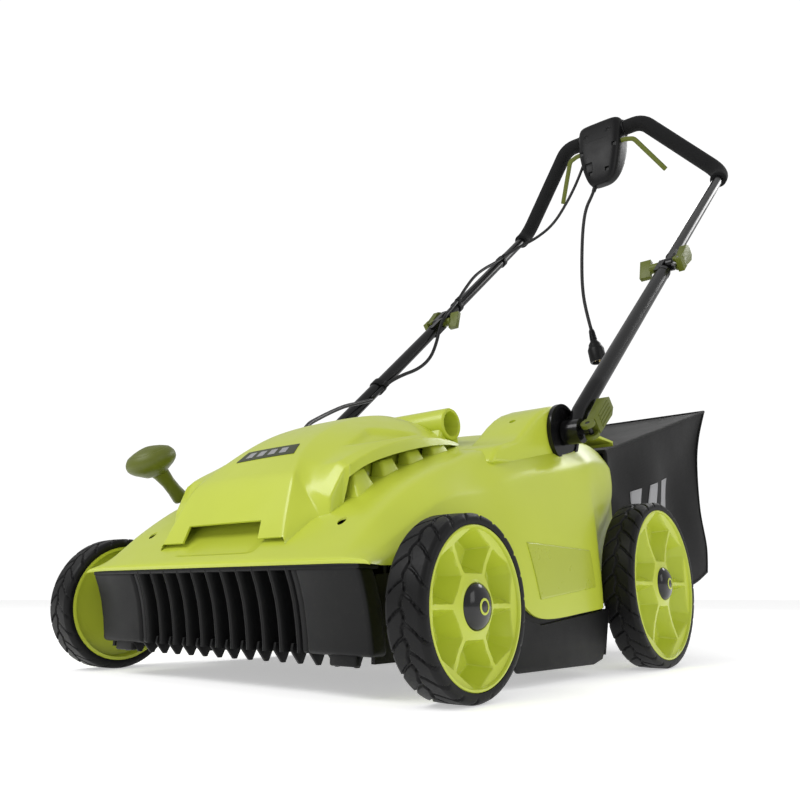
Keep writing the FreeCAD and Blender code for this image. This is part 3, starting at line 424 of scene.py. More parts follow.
def ring_faces(rings, sides, capped=True):
    """Faces between rings of points that follow one another, with a cap at each end."""
    faces = [(j * sides + i, j * sides + (i + 1) % sides, (j + 1) * sides + (i + 1) % sides,
              (j + 1) * sides + i) for j in range(rings - 1) for i in range(sides)]
    last = (rings - 1) * sides
    return faces + ([tuple(range(sides))[::-1], tuple(range(last, last + sides))] if capped else [])


def lathe(name, profile, centre, sides=64):
    """Turn (along, radius) points, in millimetres, about an x line through the centre."""
    points = [Vector((along, y, z)) / 1000 for along, radius in profile
              for y, z in circle(radius, sides)]
    mesh = build(name, points, ring_faces(len(profile), sides, capped=False), 1e-7)
    mesh.transform(Matrix.Translation(centre))
    return mesh


def prism(name, outline_yz, x0, x1):
    """A side-view outline in millimetres, thickened between two x planes."""
    points = [at(x, y, z) for x in (x0, x1) for y, z in outline_yz]
    return build(name, points, ring_faces(2, len(outline_yz)))


def block(name, x0, x1, y0, y1, z0, z1):
    return prism(name, [(y0, z0), (y1, z0), (y1, z1), (y0, z1)], x0, x1)


print("mesh helpers ready")

# %% [markdown]
# ## Cables
# The motor lead leaves the switch box, runs down the right-hand tubes through three clips and goes
# into the hood.  A short pigtail with the inlet plug hangs from the box.  Each is one NURBS line
# through the points where a hand would have laid it, and a round tube follows the line.

# %% Cable lines
def nurbs_line(name, points):
    curve = bpy.data.curves.new(name, "CURVE")
    curve.dimensions = "3D"
    spline = curve.splines.new("NURBS")
    spline.points.add(len(points) - 1)
    for control, point in zip(spline.points, points):
        control.co = (*at(*point), 1)
    spline.order_u = 3
    spline.use_endpoint_u = True
    spline.resolution_u = 10
    return curve


def along(curve):
    """The points of a curve with no bevel, in order."""
    return [v.co.copy() for v in evaluated(curve).vertices]


def tube(name, places, radius):
    """A closed round tube along a line of places in metres; the radius is in millimetres."""
    points = []
    side = None
    for i, place in enumerate(places):
        way = (places[min(i + 1, len(places) - 1)] - places[max(i - 1, 0)]).normalized()
        side = way.orthogonal() if side is None else side - way * side.dot(way)
        side.normalize()
        up = way.cross(side)
        points += [place + (side * a + up * b) / 1000 for a, b in circle(radius, 16)]
    return build(name, points, ring_faces(len(places), 16), 1e-8)


LEAD_DOWN = [(-40, 938, 1026), (-56, 938, 992), (-86, 938, 946), (-124, 938, 902),
             (-166, 931, 878), (-200, 908, 858), (-221, 876, 829), (-221, 842, 804),
             (-221, 802, 779), (-221, 758, 746), (-221, 722, 706), (-221, 695, 672),
             (-215, 668, 648), (-213, 639, 622), (-211, 618, 592), (-209, 604, 556),
             (-209, 584, 520), (-210, 548, 491), (-213, 500, 469), (-215.5, 461, 445),
             (-215.5, 426, 414)]
LEAD_OVER = [(-212, 421, 409), (-206, 385, 396), (-195, 338, 381), (-180, 288, 359),
             (-160, 243, 339), (-135, 197, 319), (-114, 166, 292), (-108, 158, 272)]
PIGTAIL = [(-15, 939, 966), (-24, 937, 943), (-40, 933, 914), (-49, 931, 868), (-55, 930, 801),
           (-58, 930, 736), (-54, 930, 684), (-43, 930, 632)]

# %% The motor lead
def blended_cord(name, route, start, end, nodes):
    places = along(nurbs_line(name, route))
    made = piece(name, tube(name, places, 3.2), "cable_sheath", None, *nodes)
    at(*start)
    at(*end)
    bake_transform(made)
    tuple(at(*route[0]))


blended_cord("motor_lead", LEAD_DOWN,
             (-214, 672, 650), (-211, 618, 592), ("lead_upper", "lead_lower"))
blended_cord("motor_lead_tail", LEAD_OVER,
             (-206, 385, 396), (-180, 288, 359), ("lead_tail",))

# %% The pigtail and its plug
def lathe_along(name, profile, start, end, sides=40):
    """Turn (distance, radius) points about the line from start to end, in millimetres."""
    way = (end - start).normalized()
    mesh = lathe(name, profile, Vector((0, 0, 0)), sides)
    mesh.transform(Vector((1, 0, 0)).rotation_difference(way).to_matrix().to_4x4())
    mesh.transform(Matrix.Translation(start))
    return mesh


PLUG_TOP, PLUG_END = at(-43, 930, 632), at(-30, 930, 554)
plug_profile = [(0, 0), (0, 4.6), (1.5, 5.3)]
for ring in range(6):
    foot = 3.0 + ring * 3.6
    size = 5.2 + ring * 0.3
    plug_profile += [(foot, size), (foot + 0.5, size + 0.9), (foot + 2.1, size + 1.1),
                     (foot + 2.7, size)]
plug_profile += [(26, 7.4), (30, 9.8), (34, 12.6), (38, 13.4), (43, 15.6), (45, 16.6), (47, 17),
                 (71, 17), (74, 16.4), (75, 15.4), (75, 13), (74, 12.5), (58, 12.5), (58, 0)]
plug_mesh = lathe_along("plug", plug_profile, PLUG_TOP, PLUG_END)
plug = piece("inlet_plug_body", sharp_shading(plug_mesh), "box_moulding", "upper_handle",
             "inlet_plug")
pin_way = (PLUG_END - PLUG_TOP).normalized()
pin_meshes = []
for px, py in ((-5.0, -3.0), (5.0, -3.0), (0.0, 5.5)):
    foot = PLUG_TOP + pin_way * 0.058 + Vector((px, py, 0)) / 1000
    pin_meshes.append(lathe_along("pin", [(0, 0), (0, 1.6), (13, 1.6), (14.4, 0.9), (14.6, 0)],
                                  foot, foot + pin_way, 20))
pins = piece("inlet_plug_pins", joined("pins", pin_meshes), "brass_pin", "upper_handle")
pigtail_line = nurbs_line("pigtail_cable", PIGTAIL)
pigtail_places = along(pigtail_line)
pigtail = piece("pigtail_cable", tube("pigtail_cable", pigtail_places, 3.6), "cable_sheath",
                "upper_handle", "pigtail")
tuple(at(*PIGTAIL[0]))

# %% [markdown]
# ## Covers
# The deck and the hood are thin mouldings whose shape is known as a row of cross sections.  Each is
# a coarse cage of those sections, rounded by subdivision, with creases where the real moulding has
# an edge.  A wall is then given to it, and holes are cut last.

# %% Skins from cross sections
def crease(mesh, pairs):
    """Set the crease of edges, given as {(vertex, vertex): amount}."""
    layer = mesh.attributes.new("crease_edge", "FLOAT", "EDGE")
    amounts = np.zeros(len(mesh.edges), np.float32)
    for i, edge in enumerate(mesh.edges):
        a, b = edge.vertices
        amounts[i] = pairs.get((a, b), pairs.get((b, a), 0.0))
    layer.data.foreach_set("value", amounts)


def skin(name, stations, column_crease, row_crease, leave_out=(), corners=()):
    """A two-sided skin from (y, half section) stations; half sections start at the centre line."""
    count = len(stations[0][1])
    columns = 2 * count - 1
    points, pairs = [], {}
    for y, half in stations:
        points += [at(-x, y, z) for x, z in reversed(half[1:])] + [at(x, y, z) for x, z in half]

    def index(row, column):
        return row * columns + column
    faces = []
    for row in range(len(stations) - 1):
        for column in range(columns - 1):
            from_centre = column - count + 1 if column >= count - 1 else count - 2 - column
            if (row, from_centre) in leave_out:
                continue
            faces.append((index(row, column), index(row, column + 1),
                          index(row + 1, column + 1), index(row + 1, column)))
    for half_column, (amount, first, last) in column_crease.items():
        for row in range(first, min(last, len(stations) - 1)):
            for column in (count - 1 + half_column, count - 1 - half_column):
                pairs[(index(row, column), index(row + 1, column))] = amount
    for row, (amount, first, last) in row_crease.items():
        for step in range(first, last):
            for column in (count - 1 + step, count - 2 - step):
                pairs[(index(row, column), index(row, column + 1))] = amount
    mesh = bpy.data.meshes.new(name)
    mesh.from_pydata([tuple(p) for p in points], [], faces)
    crease(mesh, pairs)
    held = mesh.attributes.new("crease_vert", "FLOAT", "POINT")
    for row, step in corners:
        for column in (count - 1 + step, count - 1 - step):
            held.data[index(row, column)].value = 1.0
    used = bmesh.new()
    used.from_mesh(mesh)
    bmesh.ops.recalc_face_normals(used, faces=used.faces)
    if sum((f.normal.z for f in used.faces)) < 0:
        bmesh.ops.reverse_faces(used, faces=used.faces)
    bmesh.ops.delete(used, geom=[v for v in used.verts if not v.link_faces], context="VERTS")
    used.to_mesh(mesh)
    used.free()
    return worked(mesh, SMOOTHED)


def walled(mesh):
    """Give a skin a wall 2.8 mm thick, grown inwards."""
    return worked(mesh, ("SOLIDIFY", {"thickness": 0.0028, "offset": -1.0, "use_even_offset": True,
                                      "thickness_clamp": 1.0}))


def cut(mesh, *cutters):
    """Subtract each cutter mesh."""
    for cutter in cutters:
        tool = bpy.data.objects.new("tool", cutter)
        scene.collection.objects.link(tool)
        mesh = worked(mesh, ("BOOLEAN", {"operation": "DIFFERENCE", "solver": "EXACT",
                                         "object": tool}))
        bpy.data.objects.remove(tool)
    return mesh


def in_between(a, b, share):
    return tuple(p + (q - p) * share for p, q in zip(a, b))


print("skins ready")

# %% [markdown]
# The deck is low and flat in front and swells behind the front wheels to make room for the belt.
# Its crown carries a shallow scoop in front of the hood's notch.

# %% Deck
DECK = [
    (-66, [(0, 113), (100, 113), (183, 113), (206, 112.5), (214, 112), (217, 111.5), (218.5, 111)]),
    (-68.5, [(0, 117), (100, 117), (185, 117), (207, 116), (215, 115), (218, 113), (219.5, 112)]),
    (-65, [(0, 121), (100, 121), (185, 120), (207, 118), (215, 116), (218, 114), (219.5, 112)]),
    (-47, [(0, 137), (100, 137), (185, 135.5), (208, 124), (216, 118), (218, 114), (219, 111)]),
    (-23, [(0, 160), (100, 160), (186, 157), (210, 138), (217, 127), (218.5, 120), (219, 113)]),
    (17, [(0, 191), (100, 190), (186, 186), (214, 163), (218, 150), (219, 140), (219.5, 128)]),
    (51, [(0, 210), (100, 208), (187, 203), (215, 180), (219, 165), (220, 150), (220, 130)]),
    (85, [(0, 226), (100, 222), (188, 217), (216, 185), (222, 166), (226, 148), (228, 128)]),
    (112, [(0, 236), (100, 232), (188, 227), (218, 190), (229, 162), (238, 128), (242, 105)]),
    (135, [(0, 246), (100, 241), (189, 236), (220, 202), (236, 160), (243, 110), (244.5, 70)]),
    (170, [(0, 258), (100, 252), (190, 245), (222, 214), (238, 165), (244.5, 110), (245.5, 60)]),
    (245, [(0, 284), (100, 280), (192, 262), (224, 228), (239, 170), (245, 115), (245.5, 67)]),
    (300, [(0, 296), (100, 292), (195, 270), (226, 238), (239, 175), (245, 115), (245.5, 71)]),
    (318, [(0, 299), (100, 295), (197, 274), (228, 242), (237, 178), (243, 115), (243.5, 73)]),
    (332, [(0, 300), (100, 297), (198, 277), (229, 245), (231, 183), (217, 120), (216, 80)]),
    (383, [(0, 298), (100, 296), (198, 280), (225, 250), (228, 196), (210, 168), (209, 115)]),
    (403, [(0, 296), (100, 294), (196, 278), (221, 244), (225, 212), (208, 180), (207, 113)]),
    (430, [(0, 288), (100, 287), (190, 276), (203, 258), (206, 228), (206, 180), (206, 113)]),
]


def deck_stations():
    """Add the scoop's edges to the sections, and lower its floor by 3 mm."""
    def with_edges(half, drop):
        edge, out = in_between(half[0], half[1], 0.5), in_between(half[0], half[1], 0.64)
        return [(half[0][0], half[0][1] - drop), (edge[0], edge[1] - drop), out, *half[1:]]
    rows = [(y, with_edges(half, 0.0)) for y, half in DECK[:2]]
    for y in sorted([y for y, _ in DECK[2:]] + [-60, -56, -35, -30]):
        for (y0, a), (y1, b) in zip(DECK[2:], DECK[3:]):
            if y0 <= y <= y1:
                half = [in_between(p, q, (y - y0) / (y1 - y0)) for p, q in zip(a, b)]
                break
        rows.append((y, with_edges(half, 3.0 if -58 < y < -24 else 0.0)))
    return rows


rows = deck_stations()
deck_skin = skin("deck_skin", rows,
                 {1: (0.8, 2, 9), 2: (0.8, 2, 9), 4: (0.55, 0, 99), 5: (0.85, 3, 99),
                  8: (1.0, 0, 99)},
                 {3: (0.7, 0, 2), 4: (0.7, 0, 2), 0: (1.0, 0, 8), len(rows) - 1: (1.0, 0, 8)})
deck_wall = walled(deck_skin)
holes = [lathe_along("hole", [(0, 0), (0, 4.6), (30, 4.6), (60, 12), (60, 0)],
                     at(x, y, seat - 4), at(x, y, seat + 60), 24)
         for y, seat in ((-28, 140), (375, 255)) for x in (-150, 150)]
deck = piece("deck_moulding", sharp_shading(cut(deck_wall, *holes), 50), "green_moulding",
             "machine", "deck_cover")

# %% [markdown]
# The hood rises in a flat front panel that narrows upwards.  Its sides end in a lip over the air
# vents; the lip's front end turns down as a short post.

# %% Hood
HOOD = [
    (-51.5, [(0, 140), (60, 140), (95, 140), (98, 137), (99, 134), (100, 130), (101, 122)]),
    (-45.5, [(0, 158.5), (57.5, 158), (91, 156.5), (96, 149), (99, 142), (101, 136), (102, 122)]),
    (-29, [(0, 200), (57, 199.5), (82, 198), (92, 182), (101, 167), (106, 158), (108, 140)]),
    (-21, [(0, 210), (50, 209.5), (77, 208), (90, 190), (104, 173), (111, 166), (116, 150)]),
    (-18, [(0, 213), (49, 212.5), (75, 211), (90, 194), (110, 184), (124, 178), (125, 152)]),
    (-3, [(0, 229), (43, 228.5), (65, 227), (92, 213), (117, 214), (128, 208), (127, 170)]),
    (1, [(0, 232.5), (42, 232), (62, 230.5), (93, 216), (118, 217), (131, 211), (131, 199)]),
    (19, [(0, 247), (40, 246.5), (56, 245.5), (92, 231), (120, 227), (131, 222), (134, 212.5)]),
    (50, [(0, 268), (38, 267.5), (50, 266.5), (92, 255), (121, 242), (131, 237), (134.5, 225)]),
    (90, [(0, 286), (38, 285.5), (50, 284), (92, 273), (121, 256), (131, 250), (134.5, 238)]),
    (142, [(0, 301), (40, 300.5), (54, 298.5), (92, 286), (120, 266), (130, 261), (134, 251.5)]),
    (185, [(0, 300), (34, 299), (56, 296), (92, 284), (114, 267), (124, 263), (127, 258)]),
    (215, [(0, 290), (36, 289), (58, 287), (88, 277), (106, 268), (117, 263), (120, 259)]),
    (243, [(0, 275), (36, 274), (60, 272), (86, 266), (100, 261), (110, 257), (114, 253)]),
]
hood_skin = skin("hood_skin", HOOD,
                 {1: (1.0, 0, 1), 2: (0.93, 0, 11), 3: (0.4, 4, 9), 4: (0.8, 4, 13),
                  5: (0.9, 4, 13), 6: (1.0, 0, 99)},
                 {0: (1.0, 0, 6), 1: (1.0, 0, 1), 3: (0.9, 3, 6), 4: (0.9, 3, 6), 5: (1.0, 5, 6),
                  6: (1.0, 5, 6), 13: (1.0, 0, 6)},
                 leave_out={(0, 0)}, corners=[(0, 1), (1, 1), (0, 2)])


def pod_hollow(mesh):
    """Press the shallow three-cornered hollow into each side of the hood."""
    co = np.empty(len(mesh.vertices) * 3)
    mesh.vertices.foreach_get("co", co)
    co = co.reshape(-1, 3)
    x, y, z = np.abs(co[:, 0]) * 1000, (co[:, 1] - AXLE_Y) * 1000, co[:, 2] * 1000
    corners = [(24, 236), (56, 244), (130, 262), (70, 264)]
    depth = np.full(len(co), 99.0)
    for (y0, z0), (y1, z1) in zip(corners, corners[1:] + corners[:1]):
        size = math.hypot(y1 - y0, z1 - z0)
        depth = np.minimum(depth, ((y1 - y0) * (z - z0) - (z1 - z0) * (y - y0)) / size)
    press = np.clip(depth / 3.5, 0, 1)
    press = press * press * (3 - 2 * press) * (x > 84)
    co[:, 0] -= np.sign(co[:, 0]) * press * 0.0035
    co[:, 2] -= press * 0.0035
    mesh.vertices.foreach_set("co", co.ravel())
    return mesh


hood = piece("hood_moulding", sharp_shading(walled(pod_hollow(hood_skin)), 50), "green_moulding",
             "machine", "motor_hood")
GRIP = (0, 188, 284)
grip_profile = [(-119, 14.3), (-121, 15.3), (-121, 18.2), (-120, 19.3), (-118.5, 19.5), (-60, 19.5),
                (60, 19.5), (118.5, 19.5), (120, 19.3), (121, 18.2), (121, 15.3), (119, 14.3)]
piece("carrying_tube", sharp_shading(lathe(
    "grip", grip_profile + [grip_profile[0]], at(*GRIP), 72)), "green_moulding", "machine")
saddle_outline = [(164, 254), (173, 282), (178, 292), (198, 292), (203, 282), (212, 254)]
saddle = worked(prism("saddle", saddle_outline, -118, 118), rounded(4, 4))
core = lathe("core", [(-140, 0), (-140, 17), (140, 17), (140, 0)], at(*GRIP), 48)
piece("carrying_saddle", sharp_shading(cut(saddle, core), 50), "green_moulding", "machine")
# The walls behind the vent bumps are flat sheets in shadow_green, the green darkened as painted
# shade for the hood wall under the lip.
vent_wall_outline = [(-2, 165), (2, 204), (50, 228), (90, 241), (142, 252), (180, 258), (180, 232),
                  (120, 212), (60, 188), (15, 165)]
for side in (-1, 1):
    piece(f"vent_screen_{'left' if side > 0 else 'right'}",
          prism("wall_sheet", vent_wall_outline, side * 110, side * 112), "shadow_green", "machine")

# %% [markdown]
# Between the lip and the deck stand four tapered bumps on each side that shed grass from the vents.
# They are one shape repeated in a row, each a little longer than the last, so a small node tree
# sets them out.  The same tree is used later for every other row.

# %% A row of shapes with Geometry Nodes
def row_tree():
    tree = bpy.data.node_groups.new("row_of_shapes", "GeometryNodeTree")
    face = tree.interface
    face.new_socket("Geometry", in_out="OUTPUT", socket_type="NodeSocketGeometry")
    for label, kind in (("Shape", "NodeSocketObject"), ("Count", "NodeSocketInt"),
                        ("First", "NodeSocketVector"), ("Step", "NodeSocketVector"),
                        ("Growth", "NodeSocketFloat"), ("Finish", "NodeSocketMaterial")):
        face.new_socket(label, in_out="INPUT", socket_type=kind)

    def add(kind, **settings):
        node = tree.nodes.new(kind)
        for key, setting in settings.items():
            setattr(node, key, setting)
        return node
    entry, leave = add("NodeGroupInput"), add("NodeGroupOutput")
    line = add("GeometryNodeMeshLine", mode="OFFSET")
    shape = add("GeometryNodeObjectInfo")
    spread = add("GeometryNodeInstanceOnPoints")
    number = add("GeometryNodeInputIndex")
    grow = add("ShaderNodeMath", operation="MULTIPLY_ADD")
    size = add("ShaderNodeCombineXYZ")
    real, coat = add("GeometryNodeRealizeInstances"), add("GeometryNodeSetMaterial")
    grow.inputs[2].default_value = 1.0
    size.inputs["X"].default_value = 1.0
    size.inputs["Z"].default_value = 1.0
    links = [(entry.outputs["Count"], line.inputs["Count"]),
             (entry.outputs["First"], line.inputs["Start Location"]),
             (entry.outputs["Step"], line.inputs["Offset"]),
             (entry.outputs["Shape"], shape.inputs["Object"]),
             (line.outputs["Mesh"], spread.inputs["Points"]),
             (shape.outputs["Geometry"], spread.inputs["Instance"]),
             (number.outputs["Index"], grow.inputs[0]), (entry.outputs["Growth"], grow.inputs[1]),
             (grow.outputs[0], size.inputs["Y"]), (size.outputs["Vector"], spread.inputs["Scale"]),
             (spread.outputs["Instances"], real.inputs["Geometry"]),
             (real.outputs["Geometry"], coat.inputs["Geometry"]),
             (entry.outputs["Finish"], coat.inputs["Material"]),
             (coat.outputs["Geometry"], leave.inputs["Geometry"])]
    for source, target in links:
        tree.links.new(source, target)
    return tree


ROW = row_tree()


def row_of(name, mesh, count, first, step, finish, growth=0.0):
    """The row tree run on one mesh; first and step are in metres."""
    shape = bpy.data.objects.new("shape", mesh)
    scene.collection.objects.link(shape)
    values = {"Shape": shape, "Count": count, "First": tuple(first), "Step": tuple(step),
              "Growth": growth, "Finish": FINISHES[finish][0]}

    def prepare(helper):
        modifier = helper.modifiers.new("row", "NODES")
        modifier.node_group = ROW
        for item in ROW.interface.items_tree:
            if item.in_out == "INPUT":
                modifier[item.identifier] = values[item.name]
    result = evaluated(bpy.data.meshes.new(name), prepare)
    bpy.data.objects.remove(shape)
    return result


print("row tree has", len(ROW.nodes), "nodes")

# %% Vent bumps
def bump_shape(side):
    """One bump about its own middle: long in y, tapering upwards, leaning with the hood."""
    low = [(-10, -16, -30), (22, -16, -30), (22, 16, -19), (-10, 16, -19)]
    high = [(-10, -10, 9), (2, -10, 9), (2, 9, 15), (-10, 9, 15)]
    points = [Vector((side * x, y, z)) / 1000 for x, y, z in low + high]
    return worked(build("bump", points, ring_faces(2, 4)), rounded(3.2))


for side, word in ((1, "left"), (-1, "right")):
    bumps = row_of("bumps", bump_shape(side), 4, at(side * 124, 20, 198), (0, 0.0435, 0.0158),
                   "green_moulding", growth=0.06)
    piece(f"vent_bumps_{word}", sharp_shading(bumps, 50), "green_moulding", "machine")

# %% [markdown]
# ## Wheels
# Each wheel is a soft tyre moulded round a plastic rim.  The tyre's two rows of curved blocks and
# the rim's six pockets follow rules in angle and radius, so each is a fine grid of points whose
# depth is worked out from those two numbers.

# %% Tyre
TYRE_WIDTH = 39.5
TYRE_DEPTH = 9.7


def eased(value, low, high):
    """0 below low, 1 above high, and a soft step between."""
    t = np.clip((value - low) / (high - low), 0, 1)
    return t * t * (3 - 2 * t)


def grid_mesh(name, points, closed_rows=False):
    """A mesh from an array of points (rows, columns, 3), joined round in the column direction."""
    rows, columns = points.shape[:2]
    numbers = np.arange(rows * columns).reshape(rows, columns)
    lower = numbers if closed_rows else numbers[:-1]
    upper = np.roll(numbers, -1, 0) if closed_rows else numbers[1:]
    faces = np.stack([lower, np.roll(lower, -1, 1), np.roll(upper, -1, 1), upper], -1)
    mesh = bpy.data.meshes.new(name)
    mesh.from_pydata(points.reshape(-1, 3).tolist(), [], faces.reshape(-1, 4).tolist())
    used = bmesh.new()
    used.from_mesh(mesh)
    bmesh.ops.recalc_face_normals(used, faces=used.faces)
    used.to_mesh(mesh)
    used.free()
    return mesh


def tyre(radius, x0, side, y):
    """Cross section: a flat inner bore, rounded shoulders and a nearly flat tread."""
    blocks = 22 if radius < 90 else 28
    around = blocks * 26
    w, rim = TYRE_WIDTH, radius - TYRE_DEPTH
    section = [(0.3, rim), (0.2, rim + 1.5), (0, rim + 3.0), (0.2, radius - 4.2),
               (1.0, radius - 2.6), (2.2, radius - 1.5), (3.6, radius - 0.8)]
    section += [(x, radius - 0.35 * (abs(x - w / 2) / 16) ** 2)
                for x in np.linspace(4.6, w - 4.6, 44)]
    section += [(w - x, r) for x, r in reversed(section[:7])]
    section = np.array(section)
    angle = np.linspace(0, 2 * math.pi, around, endpoint=False)
    x, a = np.meshgrid(section[:, 0], angle, indexing="ij")
    r = np.repeat(section[:, 1:2], around, 1)
    out = np.abs(x - w / 2)
    half = np.where(x > w / 2, 0.5, 0.0)
    sweep = a / (2 * math.pi) * blocks + half + 0.018 * out + 0.0012 * out ** 2
    across = np.abs((sweep % 1.0) - 0.5) * 2 * math.pi * radius / blocks
    wander = 1.6 * np.sin(a * blocks + 0.6)
    middle = np.abs(x - w / 2 - wander)
    grooves = np.maximum(1 - eased(across, 1.1, 1.9), 1 - eased(middle, 1.2, 2.0))
    tread = r > radius - 4.4
    r = r - 1.9 * grooves * tread
    x = np.where(side > 0, x0 + x, -(x0 + x))
    points = np.stack([x, y + r * np.sin(a), radius + r * np.cos(a)], -1) / 1000
    points[..., 1] += AXLE_Y
    return grid_mesh("tyre", points, closed_rows=True)


WHEELS = [("front_left", 77.5, 241.5, 1, 0), ("front_right", 77.5, 241.5, -1, 0),
          ("rear_left", 100, 236, 1, 420), ("rear_right", 100, 236, -1, 420)]
for word, radius, x0, side, y in WHEELS:
    piece(f"{word}_tread", sharp_shading(tyre(radius, x0, side, y), 40), "tyre_tread",
          f"{word}_wheel", f"{word}_tyre")

# %% [markdown]
# The rim's face is a dish with six pockets.  Each pocket is a many-sided well with a flat floor,
# and the ridges between pockets fork like a Y near the lip.

# %% Rim
def rim(radius, x0, side, y):
    lip, hub, w = radius - TYRE_DEPTH, 21.5, TYRE_WIDTH
    around = 432
    angle = np.linspace(0, 2 * math.pi, around, endpoint=False)
    s, a = np.meshgrid(np.linspace(0, 1, 84), angle, indexing="ij")
    r = hub + (lip - 3.6 - hub) * s
    sector = math.pi / 3
    off = (a + sector / 2) % sector - sector / 2
    from_ridge = r * np.sin(sector / 2 - np.abs(off))
    reach = lip - 3.6
    along_mid = r * np.cos(off)
    side_mid = np.abs(r * np.sin(off))
    gap_ridge = from_ridge - 2.2
    gap_lip = reach - r - 0.4
    gap_hub = along_mid - hub * 1.25
    gap_fork = (reach * 1.03 - along_mid - (side_mid - reach * 0.02) * 0.62) * 0.85
    inside = np.minimum(np.minimum(gap_ridge, gap_lip), np.minimum(gap_hub, gap_fork))
    depth = 20.5 * np.clip(inside / 8.5, 0, 1) ** 0.85
    dish = 5.0 * np.sin(np.clip((r - hub) / (reach - hub), 0, 1) * math.pi) ** 0.8
    x = w - 3.2 - dish * 0.6 - depth
    x = np.maximum(x, w - 24.5)
    ring = [(w - 3.2, reach), (w - 0.9, reach + 0.5), (w - 0.2, reach + 1.1), (w - 0.2, lip - 1.2),
            (w - 0.8, lip - 0.5), (w - 2.0, lip), (1.5, lip), (0, lip - 1), (0, lip - 4),
            (w - 29, lip - 6), (w - 27.5, hub + 2), (4, 16), (2, 14.5), (2, 7)]
    inner = [(w - 8, 7), (w - 8, 14), (w - 3.4, 14.6), (w - 2.4, 15.4), (w - 2.2, 19.5),
             (w - 2.8, 21.0)]
    ax, ar = (np.concatenate([np.repeat(np.array(inner)[:, k:k + 1], around, 1), middle,
                              np.repeat(np.array(ring)[:, k:k + 1], around, 1)])
              for k, middle in enumerate((x, r)))
    aa = np.repeat(angle[None, :], ax.shape[0], 0)
    points = np.stack([side * (x0 + ax), y + ar * np.sin(aa), radius + ar * np.cos(aa)], -1) / 1000
    points[..., 1] += AXLE_Y
    return grid_mesh("rim", points, closed_rows=True)


for word, radius, x0, side, y in WHEELS:
    piece(f"{word}_rim_face", sharp_shading(rim(radius, x0, side, y), 46), "green_moulding",
          f"{word}_wheel", f"{word}_rim")

# %% [markdown]
# A glossy domed cap closes each hub.  It carries one plain raised ring, inlaid in green.

# %% Hub caps
CAP_DOME = [(-5, 13.5), (-5, 19.4), (-4.4, 20), (-3.2, 20), (-2, 19.8), (-0.2, 18.8), (1.6, 17),
            (3.0, 14.6), (4.2, 11.4), (5.1, 7.5), (5.6, 3.6), (5.7, 0)]
RING_BEAD = [(4.8, 6.6), (5.5, 6.9), (5.85, 6.4), (5.95, 5.6), (5.8, 4.9), (5.2, 4.9), (4.8, 6.6)]
for word, radius, x0, side, y in WHEELS:
    for part, profile, finish, stands in (("cap", CAP_DOME, "cap_gloss", (f"{word}_hub_cap",)),
                                          ("cap_ring", RING_BEAD, "green_moulding", ())):
        mesh = lathe(part, profile, Vector((0, 0, 0)), 56)
        mesh.transform(Matrix.Translation(at(x0 + TYRE_WIDTH, y, radius)))
        if side < 0:
            mesh = mirrored(mesh)
        piece(f"{word}_{part}", sharp_shading(mesh, 50), finish, f"{word}_wheel", *stands)

# %% [markdown]
# ## Front guard
# The black guard is a leaning band between two smooth side blocks.  Eleven rounded ribs stand on
# it, and below each one a thin fin reaches down towards the grass.

# %% Guard
GUARD = [(-66.5, 110.5), (-60, 96), (-54.5, 80), (-50.5, 62), (-48, 46), (-47, 36)]


def guard_wall(x0, x1, proud, back, name):
    """A band following the guard's leaning face from x0 to x1, standing `proud` in front of it."""
    front = [(y - proud, z) for y, z in GUARD]
    rear = [(y + back, z) for y, z in reversed(GUARD)]
    return prism(name, front + rear, x0, x1)


def rib_shape():
    """One rib: narrow and rounded in front, wide where it meets the band."""
    points = []
    outline = [(-5.6, 0), (-3.9, -7), (-3.1, -11.2), (-2.1, -13.3), (0, -14.2), (2.1, -13.3),
               (3.1, -11.2), (3.9, -7), (5.6, 0)]
    for y, z in GUARD:
        points += [at(x, y + 13.6 + dy, z) for x, dy in outline]
    return build("rib", points, ring_faces(len(GUARD), len(outline)))


RIBS, OUTER_RIB = 11, 117
pitch = 2 * OUTER_RIB / (RIBS - 1)
ribs = row_of("ribs", rib_shape(), RIBS, (-OUTER_RIB / 1000, 0, 0), (pitch / 1000, 0, 0),
              "black_moulding")
fin_outline = [(-44, 44), (-45, 37), (-35, 25.5), (-31, 25.5), (-24, 40), (-24, 44)]
fin = worked(prism("fin", fin_outline, -1.7, 1.7), rounded(0.6, 2))
fins = row_of("fins", fin, 16, (-7.5 * pitch / 1000, 0, 0), (pitch / 1000, 0, 0), "black_moulding")
ends = []
for side in (-1, 1):
    ends += [
        worked(guard_wall(side * 128, side * 206, 1.0, 20, "side_block"), rounded(4.5, 4, 40)),
        worked(guard_wall(side * 119.5, side * 129.5, -1.0, 12, "strip"), rounded(3.5, 4)),
        worked(block("tab", side * 168 - 16, side * 168 + 16, -44, -36, 27, 42), rounded(2))]
band = worked(guard_wall(-128, 128, -14.2, 17, "band"), rounded(1.0, 2))
top = worked(block("top_bar", -206, 206, -66.3, -40, 108.5, 113), rounded(1.5, 3))
guard = joined("guard", [band, top, ribs, fins, *ends])
piece("guard_moulding", sharp_shading(guard, 40), "black_moulding", "machine", "front_guard")
print("guard has", RIBS, "ribs at", round(pitch, 1), "mm")

# %% [markdown]
# ## Small mouldings and metal parts
# Many parts already have the right shape in the frame but machined-sharp edges.  A merged copy of
# such a node, with its edges rounded as a mould would leave them, stands in for it.

# %% Rounded copies
def rounded_copy(node, finish, body, width):
    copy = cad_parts[node].data.copy()
    used = bmesh.new()
    used.from_mesh(copy)
    bmesh.ops.remove_doubles(used, verts=used.verts, dist=2e-5)
    bmesh.ops.dissolve_limit(used, angle_limit=math.radians(1.0), verts=used.verts,
                             edges=used.edges)
    used.to_mesh(copy)
    used.free()
    mesh = worked(copy, ("BEVEL", {"width": width / 1000, "segments": 3, "limit_method": "ANGLE",
                                   "angle_limit": math.radians(38), "use_clamp_overlap": True}))
    piece(f"{node}_finished", sharp_shading(mesh, 35), finish, body, node)


